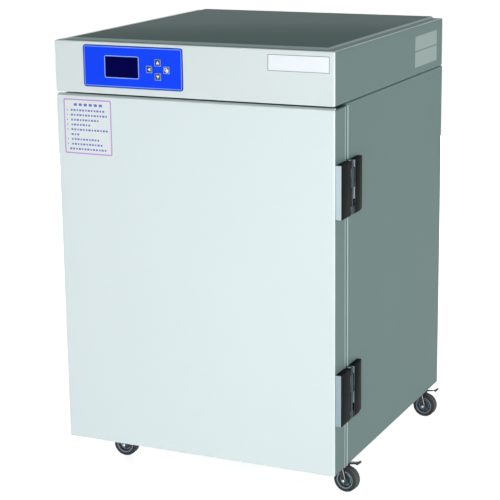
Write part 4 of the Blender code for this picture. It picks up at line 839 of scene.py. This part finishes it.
class INCUBATOR_OT_castors(bpy.types.Operator):
    """Finish the castors and make their wheels"""

    bl_idname = "incubator.castors"
    bl_label = "Castors"

    def execute(self, context):
        fine = sizes().fine_edge
        for place in PLACES:
            name = "castor_" + place
            dress(name + "_plate", "zinc", fine)
            dress(name + "_fork", "electrocoat", fine)
            dress(name + "_brake", "electrocoat", fine)
            joint = JOINTS[name + "_roll"]
            centre = Vector(joint["pos_m"])
            turn = Vector((0, 0, 1)).rotation_difference(Vector(joint["axis"])).to_matrix()
            wheel = at(*centre) @ turn.to_4x4()
            self.tyre(name, wheel, centre.z)
            self.hub(name, wheel, centre.z)
            self.fork_trim(name, wheel, centre)
        return {"FINISHED"}

    def turned(self, name, kind, side, second, wheel, finishes, slot):
        """A part of a wheel, the same on both sides, with another finish on some faces."""
        profile = side + [(r, -h) for r, h in reversed(side)]
        shape = bmesh.new()
        lathe(shape, profile, sizes().wheel_sides, wheel)
        for index, face in enumerate(shape.faces):
            if index % len(profile) in second:
                face.material_index = 1
        made = piece_from(name + kind, shape, finishes[0], name + "_wheel")
        made.data.materials.append(look(finishes[1]))
        return made

    def tyre(self, name, wheel, radius):
        """A moulded tyre with rounded shoulders and a worn running face."""
        half, inner = 0.0105, radius - 0.007
        side = [(inner, half - 0.0005), (radius - 0.0052, half), (radius - 0.0044, half),
                (radius - 0.0022, half - 0.0007), (radius - 0.0008, half - 0.002),
                (radius - 0.0001, half - 0.0038)]
        tread = len(side) - 1
        made = self.turned(name, "_moulded_tyre", side, range(tread - 1, tread + 2), wheel,
                           ("tyre", "tread"), "tyre_black")
        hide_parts(name + "_tyre")

    def hub(self, name, wheel, radius):
        """A moulded hub: rim, two raised rings, a dished web with ribs, and a boss."""
        half, rim = 0.0099, radius - 0.0073
        bore, boss = 0.0034, 0.0068
        side = [(bore, half), (boss - 0.0004, half), (boss, half - 0.0004),
                (boss + 0.0008, 0.004), (0.01, 0.0034), (0.0104, 0.0052),
                (0.0112, 0.0056), (0.012, 0.0052), (0.0124, 0.0034),
                (rim - 0.0034, 0.0036), (rim - 0.0026, half - 0.001),
                (rim - 0.0016, half), (rim - 0.0004, half), (rim, half - 0.0004)]
        # The raised rings take the paler finish: a painted highlight.
        rings = (5, 6, 10, 11, 12)
        pale = {*rings, *(2 * len(side) - 2 - i for i in rings)}
        made = self.turned(name, "_moulded_hub", side, pale, wheel, ("nylon", "ring"),
                           "hub_plastic")
        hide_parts(name + "_hub")
        self.ribs(name, wheel, boss, rim, half)

    def ribs(self, name, wheel, boss, rim, half):
        """Six ribs on each side of the hub's web."""
        low, high, thin = 0.003, half - 0.0016, 0.0008
        points = [(boss - 0.0002, low), (rim - 0.002, low), (rim - 0.002, high),
                  (boss - 0.0002, high - 0.0004)]
        shape = bmesh.new()
        for i in range(6):
            turn = Matrix.Rotation(math.pi / 3 * (i + 0.5), 4, "Z")
            for side in (-1, 1):
                place = wheel @ turn @ Matrix.Scale(side, 4, (0, 0, 1))
                slab(shape, points, -thin, thin, place)
        ribs = piece_from(name + "_hub_ribs", shape, "nylon", name + "_wheel")
        bevel(ribs, width=0.0003)

    def fork_trim(self, name, wheel, centre):
        """Domed covers on the axle bolt, and bright zinc strips down the fork's legs: a painted
        highlight on the legs' front edges.
        """
        outer, body = 0.014, name + "_swivel"
        cap = [(0.0001, outer + 0.0034), (0.002, outer + 0.0032), (0.0034, outer + 0.0024),
               (0.0043, outer + 0.001), (0.0045, outer), (0.0001, outer)]
        shape = bmesh.new()
        for side in (-1, 1):
            lathe(shape, cap, SMALL_SIDES, wheel @ Matrix.Scale(side, 4, (0, 0, 1)))
        piece_from(name + "_axle_caps", shape, "zinc", body)
        swivel = Vector(JOINTS[name + "_swivel"]["pos_m"])
        trail = Vector((centre.x - swivel.x, centre.y - swivel.y, 0)).normalized()
        across = Vector((0, 0, 1)).cross(trail)
        turn = Matrix([[trail[row], across[row], (0, 0, 1)[row]] for row in range(3)])
        place = at(swivel.x, swivel.y, 0) @ turn.to_4x4()
        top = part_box(name + "_fork")[1].z - 0.011
        line, rise, near, far = 0.0015, 0.0003, 0.0235, 0.03
        # Thin strips down the legs' front edges, where the highlight is painted.
        edge = [(near - line, top), (near, top), (far, centre.z), (far - line, centre.z)]
        shape = bmesh.new()
        for low in (outer, -outer - rise):
            slab(shape, edge, low, low + rise, place)
        piece_from(name + "_fork_edges", shape, "zinc", body, False)


class INCUBATOR_OT_screws(bpy.types.Operator):
    """Add the screws of the rear panel and the bolts of the castor plates"""

    bl_idname = "incubator.screws"
    bl_label = "Screws"

    def execute(self, context):
        self.panel_screws()
        for place in PLACES:
            self.castor_bolts("castor_" + place)
        return {"FINISHED"}

    def panel_screws(self):
        """Pan heads, each with a small plug in its recess, round the rear panel."""
        low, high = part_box("rear_panel")
        r, inset, bit = sizes().screw, 0.012, 0.0009
        profile = [(bit, 0.0013), (r * 0.5, 0.0013), (r * 0.8, 0.001), (r, 0.0005),
                   (r, 0.0), (bit, 0.0)]
        plug = [(-bit, -bit), (bit, -bit), (bit, bit), (-bit, bit)]
        turn = Matrix.Rotation(math.radians(-90), 4, "X")
        shape = bmesh.new()
        for x in (low.x + inset, (low.x + high.x) / 2, high.x - inset):
            for z in (low.z + inset, (low.z + high.z) / 2, high.z - inset):
                place = at(x, high.y, z)
                lathe(shape, profile, SMALL_SIDES, place @ turn)
                slab(shape, plug, 0.0, 0.0007, place)
        piece_from("rear_panel_screws", shape, "zinc", "cabinet")

    def castor_bolts(self, name):
        """Four six-sided heads under a castor's plate."""
        low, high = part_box(name + "_plate")
        centre, spread, plate = (low + high) / 2, 0.02, 0.0025
        profile = [(0.0001, -0.003), (0.0044, -0.003), (0.005, -0.0024), (0.005, 0.0),
                   (0.0001, 0.0)]
        shape = bmesh.new()
        for x in (-spread, spread):
            for y in (-spread, spread):
                lathe(shape, profile, 6, at(centre.x + x, centre.y + y, high.z - plate))
        bolts = piece_from(name + "_bolts", shape, "zinc", "cabinet", False)
        bevel(bolts, width=0.0002)


def seen_rays(tree):
    """One for rays from the camera, and for those that gloss, metal or glass sends on."""
    path = add(tree, "ShaderNodeLightPath")
    bounced = add(tree, "ShaderNodeMath", links={
        0: path.outputs["Is Glossy Ray"], 1: path.outputs["Is Transmission Ray"]},
        operation="MAXIMUM")
    return add(tree, "ShaderNodeMath", links={
        0: path.outputs["Is Camera Ray"], 1: bounced.outputs["Value"]},
        operation="MAXIMUM").outputs["Value"]


class INCUBATOR_OT_stage(bpy.types.Operator):
    """Set the floor, the light and the camera"""

    bl_idname = "incubator.stage"
    bl_label = "Stage"

    def execute(self, context):
        self.floor()
        self.light()
        self.camera()
        context.scene.view_settings.view_transform = "Standard"
        return {"FINISHED"}

    def floor(self):
        """White studio paper: it keeps the soft shadow and shows nothing else."""
        reach, drop, paleness, glow_strength = 14.0, 0.0004, 0.92, 0.8
        made, tree, shader = new_material("studio_floor_paper", Roughness=0.9)
        tone(tree, shader, "floor", 900.0, 0.005, paleness)
        shape = bmesh.new()
        bmesh.ops.create_grid(shape, x_segments=1, y_segments=1, size=reach)
        mesh = bpy.data.meshes.new("studio_floor")
        shape.to_mesh(mesh)
        shape.free()
        mesh.materials.append(made)
        floor = bpy.data.objects.new("studio_floor", mesh)
        floor.location.z = -drop
        bpy.context.scene.collection.objects.link(floor)
        # What is seen, also in metal and glass, is pure white where no shadow falls.
        output = tree.nodes["Material Output"]
        glow = add(tree, "ShaderNodeEmission", {"Color": (1, 1, 1, 1),
                                                "Strength": glow_strength})
        dark = add(tree, "ShaderNodeEmission", {"Color": (0, 0, 0, 1), "Strength": 0.0})
        choose = add(tree, "ShaderNodeMixShader", links={
            0: seen_rays(tree), 1: dark.outputs["Emission"],
            2: glow.outputs["Emission"]})
        total = add(tree, "ShaderNodeAddShader", links={
            0: shader.outputs["BSDF"], 1: choose.outputs["Shader"]})
        tree.links.new(total.outputs["Shader"], output.inputs["Surface"])

    def light(self):
        """The world's even light and five lamps."""
        world = bpy.data.worlds.new("studio_world")
        bpy.context.scene.world = world
        world.use_nodes = True
        tree = world.node_tree
        background = tree.nodes["Background"]
        background.inputs["Color"].default_value = (1, 1, 1, 1)
        # White where it is seen, dim as a light, so that the lamps shape the cabinet.
        strength = add(tree, "ShaderNodeMapRange", {"To Min": 0.19, "To Max": 1.0},
                       {"Value": seen_rays(tree)})
        tree.links.new(strength.outputs["Result"], background.inputs["Strength"])
        for name, place, width, height, share in (
                ("key_lamp", (0.6, -3.4, 0.3), 1.1, 1.1, 1.28),
                ("top_lamp", (0.2, 0.2, 3.2), 2.6, 2.6, 0.14),
                ("side_lamp", (3.6, -0.4, 0.3), 1.6, 1.6, 1.26),
                ("rear_lamp", (-2.0, 2.8, 0.4), 3.2, 0.8, 1.6),
                ("sheen_lamp", (-2.2, 2.8, 1.3), 1.6, 1.6, 0.004)):
            self.lamp(name, place, width, height, sizes().lamp * share)

    def lamp(self, name, place, width, height, power):
        """An area lamp that points at the middle of the incubator."""
        data = bpy.data.lights.new(name, "AREA")
        data.shape = "RECTANGLE"
        data.size = width
        data.size_y = height
        data.energy = power
        lamp = bpy.data.objects.new(name, data)
        lamp.location = place
        middle = (CAD_BOX[0] + CAD_BOX[1]) / 2
        lamp.rotation_mode = "QUATERNION"
        lamp.rotation_quaternion = (middle - lamp.location).to_track_quat("-Z", "Y")
        bpy.context.scene.collection.objects.link(lamp)

    def camera(self):
        """The photograph's camera, placed from the door's front and width."""
        low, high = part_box("door_panel")
        width = high.x - low.x
        origin = Vector(((low.x + high.x) / 2, low.y, low.z))
        data = bpy.data.cameras.new("photo_camera")
        data.sensor_width = 36.0
        data.lens = CAMERA_FOCAL / PHOTO_SIDE * data.sensor_width
        camera = bpy.data.objects.new("photo_camera", data)
        columns = (CAMERA_RIGHT, CAMERA_UP, CAMERA_BACK)
        turn = Matrix([[column[row] for column in columns] for row in range(3)])
        camera.matrix_world = Matrix.Translation(origin + Vector(CAMERA_PLACE) * width) \
            @ turn.to_4x4()
        bpy.context.scene.collection.objects.link(camera)
        bpy.context.scene.camera = camera


class INCUBATOR_PT_panel(bpy.types.Panel):
    """Settings and steps of the incubator"""

    bl_idname = "INCUBATOR_PT_panel"
    bl_label = "Incubator"
    bl_space_type = "VIEW_3D"
    bl_region_type = "UI"
    bl_category = "Incubator"

    def draw(self, context):
        layout = self.layout
        for group in (context.scene.incubator_colours, context.scene.incubator_sizes):
            column = layout.column()
            for name in group.__annotations__:
                column.prop(group, name)
        for operator in OPERATORS:
            layout.operator(operator.bl_idname)


OPERATORS = (
    INCUBATOR_OT_cabinet,
    INCUBATOR_OT_inside,
    INCUBATOR_OT_rear,
    INCUBATOR_OT_keypad,
    INCUBATOR_OT_plates,
    INCUBATOR_OT_hinges,
    INCUBATOR_OT_castors,
    INCUBATOR_OT_screws,
    INCUBATOR_OT_stage,
)
CLASSES = (IncubatorColours, IncubatorSizes, *OPERATORS, INCUBATOR_PT_panel)


def register():
    for cls in CLASSES:
        bpy.utils.register_class(cls)
    bpy.types.Scene.incubator_colours = PointerProperty(type=IncubatorColours)
    bpy.types.Scene.incubator_sizes = PointerProperty(type=IncubatorSizes)


def unregister():
    del bpy.types.Scene.incubator_sizes
    del bpy.types.Scene.incubator_colours
    for cls in reversed(CLASSES):
        bpy.utils.unregister_class(cls)


def main():
    """Register the add-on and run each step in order."""
    register()
    bpy.ops.incubator.cabinet()
    bpy.ops.incubator.inside()
    bpy.ops.incubator.rear()
    bpy.ops.incubator.keypad()
    bpy.ops.incubator.plates()
    bpy.ops.incubator.hinges()
    bpy.ops.incubator.castors()
    bpy.ops.incubator.screws()
    bpy.ops.incubator.stage()


if __name__ == "__main__":
    main()
